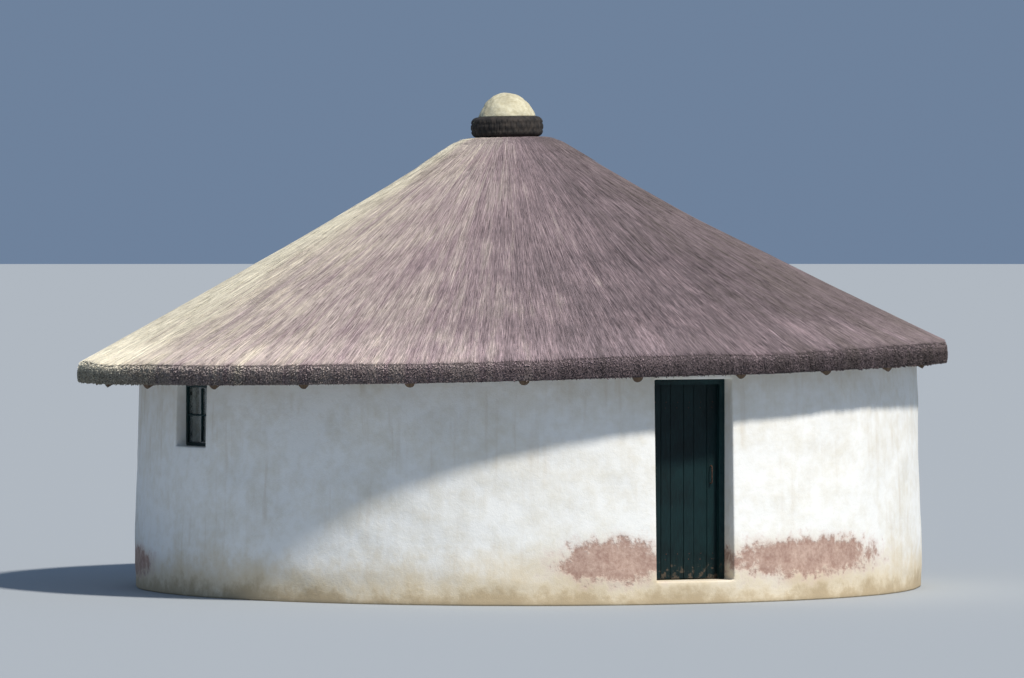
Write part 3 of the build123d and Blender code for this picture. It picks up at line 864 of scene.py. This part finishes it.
@dataclass
class EarthWall:
    """The round wall as one closed shell with the doorway and both windows cut through it.

    The shell is a lattice of columns round the wall, rows up it and layers through it. Only the
    skin of the lattice is built. Columns beside an opening keep its straight parallel sides.
    """

    inner_radius: float = 3.270
    top_radius: float = 3.520
    base_radius: float = 3.575
    height: float = 2.040
    openings: tuple[Opening, ...] = (
        Opening(0.0, 0.370, 0.200, 1.945),
        Opening(WINDOW_BEARING, 0.265, 1.320, 1.870),
        Opening(360.0 - WINDOW_BEARING, 0.265, 1.320, 1.870),
    )
    cell: float = 0.043
    layers: int = 3
    arris: float = 16 * MM
    arris_angle: float = math.radians(55)
    arris_segments: int = 3
    waver: float = 17 * MM
    swells: tuple = ((0.6, 0.62, 3), (0.35, 0.24, 5), (0.12, 0.10, 8))  # share, size and seed
    room_share: float = 0.5
    room_heights: tuple = (0.2, 0.5)
    washed_out: float = 9 * MM
    wash_heights: tuple = (0.08, 0.26)
    wash_edge: tuple = (0.12, 0.3, 9)
    calm_cells: int = 5

    def column_angles(self, radius: np.ndarray) -> tuple[np.ndarray, np.ndarray]:
        """Bearings of the columns at given radii, and which stretch each gap between columns is in.

        A side of an opening lies at its bearing plus the arcsine of its half width over the
        radius. The columns between two sides are spread evenly between them.

        Args:
            radius: radii, one for each layer and row.

        Returns:
            Bearings in radians with the columns on a new last axis, and a number for each gap:
            twice the opening's own number over an opening, and odd elsewhere.
        """
        sides = [(math.radians(hole.bearing), sign * hole.half_width)
                 for hole in self.openings for sign in (-1, 1)]
        sides.append((FULL_TURN, sides[0][1]))
        angles, stretch = [], []
        for number, ((bearing, half), (next_bearing, next_half)) in enumerate(zip(sides, sides[1:])):
            start = bearing + np.arcsin(half / radius)
            end = next_bearing + np.arcsin(next_half / radius)
            arc = float(np.mean(end - start)) * self.base_radius
            count = max(2, round(arc / self.cell))
            angles.append(start[..., None] + (end - start)[..., None] * (np.arange(count) / count))
            stretch += [number] * count
        return np.concatenate(angles, axis=-1), np.array(stretch)

    def row_heights(self) -> np.ndarray:
        """Heights of the rows, with one at every sill and head.

        Returns:
            Heights from the ground up.
        """
        marks = sorted({0.0, self.height}.union(*((hole.foot, hole.head) for hole in self.openings)))
        rows = [0.0]
        for low, high in zip(marks, marks[1:]):
            count = max(1, round((high - low) / self.cell))
            rows += [low + (high - low) * (step + 1) / count for step in range(count)]
        return np.array(rows)

    def lattice(self) -> tuple[np.ndarray, np.ndarray]:
        """Places of all lattice points, and which cells of the wall are solid.

        Returns:
            Places indexed by layer (outer face first), row and column, and a true or false for
            each cell of rows and columns.
        """
        rows = self.row_heights()
        through = np.linspace(0, 1, self.layers)[:, None]
        outer = self.base_radius - (self.base_radius - self.top_radius) * rows / self.height
        radius = outer * (1 - through) + self.inner_radius * through
        angles, stretch = self.column_angles(radius)
        places = around(np.broadcast_to(radius[..., None], angles.shape), angles, rows[None, :, None])
        middle = (rows[1:] + rows[:-1]) / 2
        solid = np.ones((len(middle), len(stretch)), bool)
        for number, hole in enumerate(self.openings):
            open_rows = (middle > hole.foot) & (middle < hole.head)
            solid &= ~(open_rows[:, None] & (stretch == 2 * number)[None, :])
        return places, solid

    def nearness(self, solid: np.ndarray) -> np.ndarray:
        """How near each lattice point is to an opening, from 1 beside it to 0 some cells away.

        Args:
            solid: which cells of the wall are solid.

        Returns:
            A number for each row and column of points.
        """
        near = np.zeros((solid.shape[0] + 1, solid.shape[1]))
        for rows in (slice(0, -1), slice(1, None)):
            for shift in (0, 1):
                near[rows] = np.maximum(near[rows], np.roll(~solid, shift, axis=1))
        for _ in range(self.calm_cells):
            beside = np.maximum(np.roll(near, 1, axis=1), np.roll(near, -1, axis=1))
            beside[1:] = np.maximum(beside[1:], near[:-1])
            beside[:-1] = np.maximum(beside[:-1], near[1:])
            near = np.maximum(near, beside - 1 / self.calm_cells)
        return near

    def wavered(self, places: np.ndarray, solid: np.ndarray) -> np.ndarray:
        """Moves both faces of the wall in and out a little, as a hand float and the rain leave them.

        The move is along the radius: noise of three sizes, less a washed-out hollow at the foot
        of the outer face. It dies away towards the openings, so that their edges stay straight,
        and is half as much on the room side.

        Args:
            places: lattice points by layer, row and column.
            solid: which cells of the wall are solid.

        Returns:
            The moved lattice points.
        """
        flat = places * np.array([1.0, 1.0, 0.0])
        outward = flat / np.linalg.norm(flat, axis=-1, keepdims=True)
        swell = sum(share * lattice_noise(places, cell, seed) for share, cell, seed in self.swells)
        fade = np.ones(places.shape[:3])
        fade[1:-1] = 0
        fade[-1] = smoothstep(*self.room_heights, places[-1, ..., 2]) * self.room_share
        move = self.waver * swell * fade
        rise, size, seed = self.wash_edge
        edge = places[0, ..., 2] + rise * lattice_noise(places[0], size, seed)
        move[0] -= self.washed_out * (1 - smoothstep(*self.wash_heights, edge))
        return places + outward * (move * smoothstep(1, 0, self.nearness(solid))[None])[..., None]

    def skin(self, solid: np.ndarray) -> np.ndarray:
        """Quads of the lattice's skin, turned to face outwards.

        A solid cell has a quad on the outer face and one on the inner face. Between a solid cell
        and an open one, or the wall's top or foot, a strip of quads runs through the layers.

        Args:
            solid: which cells of the wall are solid.

        Returns:
            One row of four lattice point numbers for each quad.
        """
        rows, columns = solid.shape
        points = (rows + 1) * columns
        row, column = np.nonzero(solid)
        corner = row * columns + column
        along = row * columns + (column + 1) % columns
        outer = np.stack([corner, along, along + columns, corner + columns], axis=-1)
        quads = [outer, outer[:, ::-1] + (self.layers - 1) * points]
        open_row = np.zeros(columns, bool)
        padded = np.vstack([open_row, solid, open_row])
        before = np.roll(solid, 1, axis=1)
        for layer in range(self.layers - 1):
            base, deeper = layer * points, (layer + 1) * points
            for first_solid in (True, False):
                row, column = np.nonzero((padded[:-1] == first_solid) & (padded[1:] != first_solid))
                a = row * columns + column
                b = row * columns + (column + 1) % columns
                level = np.stack([a + base, b + base, b + deeper, a + deeper], axis=-1)
                row, column = np.nonzero((before == first_solid) & (solid != first_solid))
                a = row * columns + column
                b = a + columns
                upright = np.stack([a + base, a + deeper, b + deeper, b + base], axis=-1)
                for strip in (level, upright):
                    quads.append(strip if first_solid else strip[:, ::-1])
        return np.concatenate(quads)

    def build(self) -> None:
        """Makes the wall and rounds the edges of its openings."""
        places, solid = self.lattice()
        quads = self.skin(solid)
        used, renumbered = np.unique(quads, return_inverse=True)
        points = self.wavered(places, solid).reshape(-1, 3)[used]
        piece = build_mesh("limewashed_wall", points, [renumbered.reshape(-1, 4)])
        bevel = piece.modifiers.new("rounded_arrises", "BEVEL")
        bevel.width = self.arris
        bevel.segments = self.arris_segments
        bevel.limit_method = "ANGLE"
        bevel.angle_limit = self.arris_angle
        walls = [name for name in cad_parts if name.startswith("wall_") and name != "wall_plate"]
        place(piece, Wear.LIMEWASH, Body.HUT, [*walls, "door_threshold", "door_lintel"])


@dataclass
class ThatchCoat:
    """The coat of grass: a closed skin of revolution, stems laid on it and cut ends at the eave."""

    form: RoofForm = ROOF
    columns: int = 620
    slope_rows: int = 58
    underside_rows: int = 24
    cut_rows: int = 9
    crown_rings: tuple = (0.68, 0.62, 0.56, 0.51, 0.48, 0.455, 0.43, 0.405, 0.375, 0.33, 0.25)
    swell: float = 24 * MM
    swell_size: float = 0.75
    furrow: float = 5 * MM
    furrows_round: float = 55.0
    furrows_along: float = 1.2
    fade_reach: float = 0.5
    eave_waver: float = 18 * MM
    eave_inset: float = 0.75
    eave_bites: tuple = ((0.5, 6.0, 23), (0.25, 20.0, 24))  # share, number round and seed
    underside_lip: float = 0.050
    slope_lip: float = 0.055
    cut_span: tuple = (0.03, 0.97)
    cut_foot: float = 0.4  # how far the cut face's lower edge follows the waver of its upper one
    sectors: tuple = ("front", "front_right", "right", "back_right", "back", "back_left", "left",
                      "front_left")
    stems_per_sector: int = 12500
    stem_length: tuple = (0.18, 0.55)
    stem_width: tuple = (7 * MM, 14 * MM)
    stem_lift: tuple = (1 * MM, 7 * MM)
    stem_stray: float = 0.035
    stem_tone: tuple = (0.5, 0.2)
    skin_gap_shade: float = 0.15
    cut_ends: int = 30000
    end_width: tuple = (7 * MM, 13 * MM)
    end_reach: tuple = (-2 * MM, 14 * MM)
    end_length: float = 0.12
    end_stray: float = 0.08
    end_shade_and_tone: tuple = (-0.25, 0.16)
    end_tone_limits: tuple = (-0.55, 0.3)
    end_top_highlight: float = 0.75
    crown_stems: int = 3600
    crown_start: tuple = (-0.14, 0.12)
    crown_length: tuple = (0.12, 0.34)
    crown_width: tuple = (8 * MM, 14 * MM)
    crown_lift: tuple = (2 * MM, 9 * MM)
    eave_turn: float = math.radians(62)
    seed: int = 11

    def waver(self, bearing: np.ndarray, radius: np.ndarray) -> tuple[np.ndarray, np.ndarray]:
        """How far the coat's outer face is moved out and up from its even form.

        Broad swellings, furrows that run down the slope, and an eave that was cut by eye.

        Args:
            bearing: bearings in radians.
            radius: distances from the roof's axis.

        Returns:
            The moves along the radius and along the height.
        """
        way = np.stack([np.sin(bearing), np.cos(bearing), np.zeros_like(bearing)], axis=-1)
        broad = lattice_noise(way * radius[..., None], self.swell_size, 21) * self.swell
        drawn_out = way * self.furrows_round
        drawn_out[..., 2] = radius * self.furrows_along
        furrows = lattice_noise(drawn_out, 1.0, 22) * self.furrow
        cut = sum(share * lattice_noise(way * number, 1.0, seed) for share, number, seed in self.eave_bites)
        at_eave = smoothstep(self.form.eave_radius - self.fade_reach, self.form.eave_radius, radius)
        fade = smoothstep(self.form.top_radius, self.form.top_radius + self.fade_reach, radius)
        return (cut - self.eave_inset) * self.eave_waver * at_eave, (broad + furrows) * fade

    def cut_face(self, share: np.ndarray) -> np.ndarray:
        """Distance from the axis to the cut face, bowed out between its lower and upper edge."""
        bow = 1 - np.cos(self.eave_turn * (2 * share - 1)) ** 0.5
        return self.form.eave_radius - self.form.eave_bulge * bow

    def profile(self) -> tuple[np.ndarray, ...]:
        """The section of the coat from the hub, along the underside, round the eave and up to the tip.

        Returns:
            Distances from the axis, heights, how far each point follows the outer face's waver,
            whether it is on the room side, and whether it is on the cut face.
        """
        form = self.form
        under = np.linspace(form.bore_radius, form.eave_radius - self.underside_lip, self.underside_rows)
        under = np.concatenate([[form.hub_radius], under])
        under_height = form.underside(under)
        under_height[0] = form.hub_top
        share = np.linspace(*self.cut_span, self.cut_rows)
        slope = np.linspace(form.eave_radius - self.slope_lip, form.crown_base_radius, self.slope_rows)
        crown = np.array(self.crown_rings)
        radius = np.concatenate([under, self.cut_face(share), slope, crown])
        height = np.concatenate([under_height, form.eave_bottom + form.eave_thickness * share,
                                 form.outer(slope), form.crown(crown)])
        sizes = (len(under), len(share), len(slope), len(crown))
        follow = np.repeat([0.0, 0.0, 1.0, 0.0], sizes)
        follow[len(under):len(under) + len(share)] = np.linspace(self.cut_foot, 1, len(share))
        return radius, height, follow, np.repeat([1, 0, 0, 0], sizes), np.repeat([0, 1, 0, 0], sizes)

    def skin(self) -> None:
        """Makes the closed skin by turning the section about the axis, then leaning it."""
        radius, height, follow, room_side, cut_face = self.profile()
        bearings, radii = np.meshgrid(circle(self.columns), radius)
        out, up = self.waver(bearings, radii)
        ring = around(radii + out * follow[:, None], bearings, height[:, None] + up * follow[:, None])
        poles = np.array([[0, 0, self.form.hub_top], [0, 0, self.form.crown_top]])
        points = np.concatenate([ring.reshape(-1, 3), poles])
        size = (len(radius), self.columns)
        piece = build_mesh("thatch_coat", self.form.leaned(points), [grid_quads(*size), *pole_fans(*size)])
        # The skin is darkened as painted shade, for the gaps where it shows between the stems.
        set_attribute(piece, "tone", Domain.POINT, np.full(len(points), self.skin_gap_shade))
        for name, rows, hub in (("room_side", room_side, 1), ("cut_face", cut_face, 0)):
            values = np.concatenate([np.repeat(rows, self.columns), [hub, 0]])
            set_attribute(piece, name, Domain.POINT, values)
        nodes = [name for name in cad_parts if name.startswith("thatch_")]
        place(piece, Wear.THATCH, Body.HUT, nodes)

    def on_slope(self, bearing: np.ndarray, radius: np.ndarray, lift: np.ndarray) -> np.ndarray:
        """Places on the wavering outer face, raised square to it.

        Args:
            bearing: bearings in radians.
            radius: distances from the axis.
            lift: how far each place is raised.

        Returns:
            The places on the upright roof.
        """
        out, up = self.waver(bearing, radius)
        fall = self.form.outer(radius - 0.01) - self.form.outer(radius + 0.01)
        slope = np.arctan(fall / 0.02)
        reach = radius + out + lift * np.sin(slope)
        return around(reach, bearing, self.form.outer(radius) + up + lift * np.cos(slope))

    def place_spears(self, name: str, corners: list[np.ndarray], tone: np.ndarray) -> None:
        """Makes one piece of many closed spears.

        Args:
            name: name of the piece.
            corners: the left, right, top and tip corner of each spear, upright.
            tone: how light each spear is.
        """
        points = np.stack(corners, axis=1).reshape(-1, 3)
        piece = build_mesh(name, self.form.leaned(points), [spear_faces(len(tone))], smooth=False)
        set_attribute(piece, "tone", Domain.FACE, np.repeat(tone, 4))
        place(piece, Wear.THATCH, Body.HUT)

    def lay_stems(self) -> None:
        """Lays stems down the slope, one piece for each eighth of the roof.

        A stem is a closed spear: a three-cornered butt sunk in the coat up the slope, and a tip
        that lies on the coat further down. Each piece's stems lie in its own eighth of the turn,
        as many to the square metre near the tip as at the eave.
        """
        rng = np.random.default_rng(self.seed)
        form = self.form
        inner, outer = form.top_radius + 0.02, form.eave_radius - 0.03
        count = self.stems_per_sector
        sunk = np.full(count, -1 * MM)
        for number, name in enumerate(self.sectors):
            bearing = (number + rng.uniform(-0.5, 0.5, count)) * FULL_TURN / len(self.sectors)
            root = np.sqrt(rng.uniform(inner**2, outer**2, count))
            tip = root + rng.uniform(*self.stem_length, count) * math.cos(form.slope)
            tip = np.minimum(tip, form.eave_radius - rng.uniform(0, 0.02, count))
            yaw = rng.normal(0, self.stem_stray, count) * (tip - root) / root
            width = rng.uniform(*self.stem_width, count)
            half = width / root / 2
            corners = [
                self.on_slope(bearing - half, root, sunk),
                self.on_slope(bearing + half, root, sunk),
                self.on_slope(bearing, root, width * 0.25),
                self.on_slope(bearing + yaw, tip, rng.uniform(*self.stem_lift, count)),
            ]
            tone = np.clip(rng.normal(*self.stem_tone, count), 0, 1.1)
            self.place_spears(f"thatch_stems_{name}", corners, tone)

    def pack_cut_ends(self) -> None:
        """Fills the cut face of the eave with the blunt ends of stems, darkened with painted shade and given
        a painted highlight towards its upper edge.

        Each end is a spear that points into the coat, up the slope, so that its three-cornered
        butt shows a little beyond the cut face.
        """
        rng = np.random.default_rng(self.seed + 1)
        form = self.form
        count = self.cut_ends
        level, zeros = np.array([0.0, 1.0, 0.0]), np.zeros(count)
        bearing = rng.uniform(0, FULL_TURN, count)
        share = rng.uniform(0.01, 0.98, count)
        out, up = self.waver(bearing, np.full(count, form.eave_radius))
        face = self.cut_face(share) + out * (self.cut_foot + (1 - self.cut_foot) * share)
        height = form.eave_bottom + form.eave_thickness * share + up * share
        width = rng.uniform(*self.end_width, count)
        roll = rng.uniform(0, FULL_TURN, count)
        dip = form.slope + rng.normal(0, self.end_stray, count)
        yaw = rng.normal(0, self.end_stray, count)
        forward = np.stack([np.cos(dip), yaw, -np.sin(dip)], axis=-1)
        upward = np.stack([np.sin(dip), zeros, np.cos(dip)], axis=-1)
        butt = np.stack([face, zeros, height], axis=-1)
        butt = butt + forward * rng.uniform(*self.end_reach, count)[:, None]
        local = []
        for turn in (0, math.pi, math.pi / 2):
            angle = (roll + turn)[:, None]
            offset = level * np.cos(angle) + upward * np.sin(angle)
            local.append(butt + offset * (width / 2)[:, None])
        local.append(butt - forward * self.end_length)
        corners = [around(spot[:, 0], bearing + spot[:, 1] / spot[:, 0], spot[:, 2]) for spot in local]
        # The ends' tones are kept dark as painted shade, and a painted highlight lightens them towards the
        # upper edge.
        tone = np.clip(rng.normal(*self.end_shade_and_tone, count), *self.end_tone_limits)
        self.place_spears("thatch_cut_ends", corners, tone + self.end_top_highlight * smoothstep(0.5, 1.0, share))

    def lay_crown(self) -> None:
        """Lays the last bundle of stems from under the tyre down over the tip of the roof."""
        rng = np.random.default_rng(self.seed + 2)
        form = self.form
        count = self.crown_stems
        bearing = rng.uniform(0, FULL_TURN, count)
        start = rng.uniform(*(form.crown_top_radius + np.array(self.crown_start)), count)
        end = start + rng.uniform(*self.crown_length, count)
        half = rng.uniform(*self.crown_width, count) / start / 2
        end_height = np.maximum(form.crown(end), form.outer(end)) + rng.uniform(*self.crown_lift, count)
        corners = [
            around(start, bearing - half, form.crown(start) - 1 * MM),
            around(start, bearing + half, form.crown(start) - 1 * MM),
            around(start, bearing, form.crown(start) + 3 * MM),
            around(end, bearing + rng.normal(0, 0.05, count), end_height),
        ]
        tone = np.clip(rng.normal(*self.stem_tone, count), 0, 1)
        self.place_spears("thatch_crown_stems", corners, tone)

    def build(self) -> None:
        """Makes the whole coat."""
        for step in (self.skin, self.lay_stems, self.pack_cut_ends, self.lay_crown):
            step()


@dataclass
class TyreCap:
    """The old tyre that lies flat on the tip, and the mortar dome that fills it."""

    form: RoofForm = ROOF
    radius: float = 0.330
    width: float = 0.190
    ring_radius: float = 0.237
    squareness: float = 3.0
    wall: float = 0.18
    section_turn: float = 128.0
    tread_depth: float = 8 * MM
    tread_edge: tuple = (0.86, 0.97)
    lugs: int = 40
    lug_lean: float = 0.35
    groove: float = 0.13
    middle_band: float = 0.33
    rib: tuple = (0.36, 0.06)
    lumps: tuple = (2 * MM, 0.11, 40)
    columns: int = 400
    rows: int = 36
    dome_radius: float = 0.265
    dome_height: float = 0.215
    dome_rows: int = 46
    dome_columns: int = 200
    dome_inset: float = 8 * MM
    dome_roughness: tuple = ((14 * MM, 0.14, 31), (5 * MM, 0.05, 32), (2 * MM, 0.018, 33))
    plug: tuple = ((0.02, -0.06), (0.16, -0.06), (0.185, -0.03), (0.215, -0.004))

    def tyre(self) -> None:
        """Makes the tyre: a squared-off oval section turned about the axis, with a lugged tread.

        The section is a superellipse, open towards the axis. Where it faces outwards, the tread's
        grooves are cut into it: two run round and the rest run across, staggered in the middle.
        """
        half = self.width / 2
        reach = self.radius - self.ring_radius
        turn = np.radians(np.linspace(-self.section_turn, self.section_turn, self.rows))
        outs, ups = squared_circle(turn, self.squareness)
        outs = np.concatenate([outs, outs[::-1] * (1 - self.wall)]) * reach
        ups = np.concatenate([ups, ups[::-1] * (1 - self.wall)]) * half
        outside = np.arange(len(outs)) < self.rows
        bearings, out = np.meshgrid(circle(self.columns), outs)
        up = np.broadcast_to(ups[:, None], out.shape)
        band = np.abs(up) / half
        tread = smoothstep(*self.tread_edge, out / reach) * outside[:, None]
        stagger = np.where(band < self.middle_band, 0.5, 0.0)
        turns = bearings * self.lugs / FULL_TURN + stagger + self.lug_lean * band
        cut = (np.abs(turns % 1.0 - 0.5) < self.groove) | (np.abs(band - self.rib[0]) < self.rib[1])
        radii = self.ring_radius + out - np.where(cut, self.tread_depth, 0.0) * tread
        points = around(radii, bearings, self.form.crown_top + half + up)
        rise, size, seed = self.lumps
        points[..., 2] += rise * lattice_noise(points, size, seed)
        piece = build_mesh("tyre_with_tread", self.form.leaned(points.reshape(-1, 3)),
                           [grid_quads(len(outs), self.columns, close_rows=True)])
        place(piece, Wear.RUBBER, Body.HUT, ["cap_tyre"])

    def mortar(self) -> None:
        """Makes the mortar: a shallow plug inside the tyre and a hand-shaped dome over it.

        The dome is the top of a ball. Noise of three sizes, for the hand, the trowel and the
        sand, moves its face in and out from the middle of its base.
        """
        rim = self.form.crown_top + self.width
        sphere = (self.dome_radius**2 + self.dome_height**2) / 2 / self.dome_height
        turn = np.linspace(math.asin(min(1.0, self.dome_radius / sphere)), 0.02, self.dome_rows)
        plug = np.array(self.plug)
        radius = np.concatenate([plug[:, 0], sphere * np.sin(turn)])
        height = rim + np.concatenate([plug[:, 1], self.dome_height - sphere * (1 - np.cos(turn))])
        bearings, radii = np.meshgrid(circle(self.dome_columns), radius)
        points = around(radii, bearings, height[:, None])
        out = points - np.array([0, 0, rim])
        out = out / np.linalg.norm(out, axis=-1, keepdims=True)
        rough = sum(depth * lattice_noise(points, cell, seed) for depth, cell, seed in self.dome_roughness)
        shown = (np.arange(len(radius)) >= len(plug))[:, None]
        points = points + out * ((rough - self.dome_inset) * shown)[..., None]
        points[..., 2] = np.where(shown, np.maximum(points[..., 2], rim - 2 * MM), points[..., 2])
        poles = np.array([[0, 0, height[0]], [0, 0, float(points[-1, :, 2].mean())]])
        size = (len(radius), self.dome_columns)
        piece = build_mesh("mortar_dome", self.form.leaned(np.concatenate([points.reshape(-1, 3), poles])),
                           [grid_quads(*size), *pole_fans(*size)])
        place(piece, Wear.MORTAR, Body.HUT, ["cap_mortar"])

    def build(self) -> None:
        """Makes the tyre and its mortar."""
        self.tyre()
        self.mortar()


@dataclass
class PlankDoor:
    """The boards of the door and the nails that hold them to the ledges."""

    boards: int = 6
    gap: float = 3 * MM
    rows: int = 30
    corners: int = 28
    squareness: float = 9.0
    unevenness: tuple = (0.012, -0.016, 0.009, -0.01, 0.014)
    thinning: float = 0.96
    bow: float = 1.2 * MM
    bow_wave: tuple = (2.1, 1.7)
    cup: float = 1.0 * MM
    nail_radius: float = 5 * MM
    nail_doming: float = 0.45
    nail_rise: tuple = (0, 40, 75)
    nail_shares: tuple = (0.3, 0.7)
    nail_stagger: float = 0.02
    nail_corners: int = 10

    def board_edges(self) -> np.ndarray:
        """Sides of the boards across the door, uneven as sawn boards are.

        Returns:
            Places along X, one more than there are boards.
        """
        low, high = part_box("door_boards")
        share = np.linspace(0, 1, self.boards + 1)
        share[1:-1] += self.unevenness
        return low[0] + share * (high[0] - low[0])

    def leaf(self) -> None:
        """Makes the boards: a section with rounded corners carried up the height.

        The section is a superellipse of high power. Each board cups and bows a little.
        """
        low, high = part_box("door_boards")
        sides = self.board_edges()
        across, through = squared_circle(circle(self.corners), self.squareness)
        heights = np.linspace(low[2], high[2], self.rows)[:, None]
        middle_y, half_y = (low[1] + high[1]) / 2, (high[1] - low[1]) / 2
        points, faces = [], []
        for number, (left, right) in enumerate(zip(sides, sides[1:])):
            middle, half = (left + right) / 2, (right - left - self.gap) / 2
            bow = self.bow * np.sin(heights * self.bow_wave[0] + number * self.bow_wave[1])
            cup = self.cup * across**2 * (-1) ** number
            y = middle_y + through * half_y * self.thinning + np.minimum(bow + cup, 0)
            board = np.stack(np.broadcast_arrays(middle + across * half, y, heights), axis=-1)
            offset = number * self.rows * self.corners
            points.append(board.reshape(-1, 3))
            foot = np.arange(self.corners)[None, :]
            head = foot + (self.rows - 1) * self.corners
            faces += [part + offset for part in (grid_quads(self.rows, self.corners), foot[:, ::-1], head)]
        piece = build_mesh("door_planks", np.concatenate(points), faces, smooth=False)
        place(piece, Wear.DOOR_PAINT, Body.DOOR, ["door_boards"])

    def nails(self) -> None:
        """Makes domed nail heads on the outer face, two for each board at each ledge."""
        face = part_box("door_boards")[0][1]
        sides = self.board_edges()
        middles = (sides[1:] + sides[:-1]) / 2
        turn = circle(self.nail_corners)
        rise = np.radians(self.nail_rise)[:, None]
        radii, depths = np.cos(rise) * self.nail_radius, np.sin(rise) * self.nail_radius * self.nail_doming
        dome = np.stack([radii * np.cos(turn), -depths + 0 * turn, radii * np.sin(turn)], axis=-1)
        dome = dome.reshape(-1, 3)
        rim = np.arange(self.nail_corners)[None, :]
        head = [grid_quads(len(rise), self.nail_corners), rim + 2 * self.nail_corners, rim[:, ::-1]]
        points, faces = [], []
        for ledge in ("door_ledge_low", "door_ledge_high"):
            low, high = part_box(ledge)
            for x in middles:
                for share in self.nail_shares:
                    offset = len(points) * len(dome)
                    slant = self.nail_stagger * (share - 0.5)
                    points.append(dome + np.array([x + slant, face, low[2] + share * (high[2] - low[2])]))
                    faces += [part + offset for part in head]
        piece = build_mesh("door_nail_heads", np.concatenate(points), faces)
        place(piece, Wear.IRON, Body.DOOR)

    def build(self) -> None:
        """Makes the boards and nails."""
        self.leaf()
        self.nails()


@dataclass
class GlazingBars:
    """Two slender bars that part each window into four panes, let into the sash."""

    bar: float = 16 * MM
    depth: float = 18 * MM
    sash_lap: float = 1 * MM
    pane_rebate: float = 10 * MM
    pane_clearance: float = 2 * MM
    half_clear: float = 0.227
    section: tuple = ((-0.5, 1.0), (0.5, 1.0), (0.5, 0.35), (0.2, 0.0), (-0.2, 0.0), (-0.5, 0.35))

    def build(self) -> None:
        """Makes the bars of both windows, each a bar with its outer corners taken off."""
        across, through = np.array(self.section).T * np.array([[self.bar], [self.depth]])
        corners = len(self.section)
        ring = np.arange(corners)
        after = (ring + 1) % corners
        sides = np.stack([ring, after, after + corners, ring + corners], axis=-1)
        ends = np.array([ring[::-1], ring + corners])
        faces = [np.concatenate([part[:, ::-1], part + 2 * corners]) for part in (sides, ends)]
        for side, sign in (("left", -1), ("right", 1)):
            low, high = (np.array(corner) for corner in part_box(f"{side}_window_pane"))
            turn = sign * WINDOW_BEARING
            x, y, z = turned((low + high) / 2, -turn)
            half_height = (high[2] - low[2]) / 2 - self.pane_rebate + self.sash_lap
            half_width = self.half_clear + self.sash_lap
            front = y - self.pane_clearance - self.depth + through
            upright = [np.stack([x + across, front, np.full(corners, z + end * half_height)], axis=-1)
                       for end in (-1, 1)]
            level = [np.stack([np.full(corners, x + end * half_width), front, z + across], axis=-1)
                     for end in (-1, 1)]
            points = turned(np.concatenate([*upright, *level]), turn)
            piece = build_mesh(f"{side}_window_glazing_bars", points, faces, smooth=False)
            place(piece, Wear.FRAME_PAINT, Body.HUT)


@dataclass
class Studio:
    """A pale floor, a soft key light from the camera's right, a pale sky and the camera."""

    azimuth: float = -24.0
    elevation: float = 1.0
    lens: float = 260.0
    sensor: float = 36.0
    fill: float = 0.85
    sight: float = 1000.0
    key_turn: float = 43.0
    key_rise: float = 52.5
    key_distance: float = 30.0
    key_strength: float = 3.75
    key_softness: float = math.radians(5)
    key_colour: tuple = (1.0, 0.965, 0.91)
    sky_colour: str = "ACC9F0"
    sky_strength: float = 0.38
    floor_radius: float = 400.0
    floor_corners: int = 96

    def direction(self, azimuth: float, elevation: float) -> Vector:
        """Unit vector from the hut towards a place at this azimuth and elevation."""
        a, e = math.radians(azimuth), math.radians(elevation)
        return Vector((math.sin(a) * math.cos(e), -math.cos(a) * math.cos(e), math.sin(e)))

    def stand(self, name: str, data: bpy.types.ID, toward: Vector, spot: Vector) -> bpy.types.Object:
        """Stands a lamp or camera at a spot, turned back along the way it was set out.

        Args:
            name: name of the object.
            data: the lamp's or camera's own data.
            toward: unit vector from the hut to it.
            spot: where it stands.

        Returns:
            The new object.
        """
        stood = bpy.data.objects.new(name, data)
        bpy.context.scene.collection.objects.link(stood)
        stood.location = spot
        stood.rotation_euler = toward.to_track_quat("Z", "Y").to_euler()
        return stood

    def floor(self) -> None:
        """Lays the pale floor, which isn't part of the hut."""
        points = around(self.floor_radius, circle(self.floor_corners), 0)
        piece = build_mesh("studio_floor", points, [np.arange(self.floor_corners)[None, :]])
        piece.data.materials.append(StudioPaint().material)
        piece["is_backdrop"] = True

    def light(self, centre: Vector) -> None:
        """Hangs the key light and fills the shade from an even pale sky.

        Args:
            centre: the middle of the hut.
        """
        key = bpy.data.lights.new("key_light", "SUN")
        key.energy = self.key_strength
        key.angle = self.key_softness
        key.color = self.key_colour
        toward = self.direction(self.azimuth + self.key_turn, self.key_rise)
        self.stand("key_light", key, toward, centre + toward * self.key_distance)
        world = bpy.data.worlds.new("pale_sky")
        bpy.context.scene.world = world
        world.use_nodes = True
        sky = world.node_tree.nodes["Background"]
        sky.inputs["Color"].default_value = linear(self.sky_colour)
        sky.inputs["Strength"].default_value = self.sky_strength
        bpy.context.scene.view_settings.view_transform = "Standard"

    def camera(self, centre: Vector, width: float) -> None:
        """Stands the camera far off, as in the photograph, so that the hut fills the frame.

        Args:
            centre: the middle of the hut.
            width: how wide the hut is.
        """
        data = bpy.data.cameras.new("camera")
        data.lens = self.lens
        data.sensor_width = self.sensor
        data.clip_end = self.sight
        toward = self.direction(self.azimuth, self.elevation)
        spot = centre + toward * (width / self.fill * self.lens / self.sensor)
        bpy.context.scene.camera = self.stand("camera", data, toward, spot)

    def build(self) -> None:
        """Sets the stage round the finished hut."""
        low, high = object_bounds()
        centre = (low + high) / 2
        self.floor()
        self.light(centre)
        self.camera(centre, high.x - low.x)


def main() -> None:
    """Builds the hut's looks piece by piece, then the studio round it."""
    dress_nodes()
    for part in (EarthWall(), ThatchCoat(), TyreCap(), PlankDoor(), GlazingBars(), Studio()):
        part.build()


if __name__ == "__main__":
    logging.basicConfig(level=logging.INFO, format="%(name)s %(message)s")
    main()
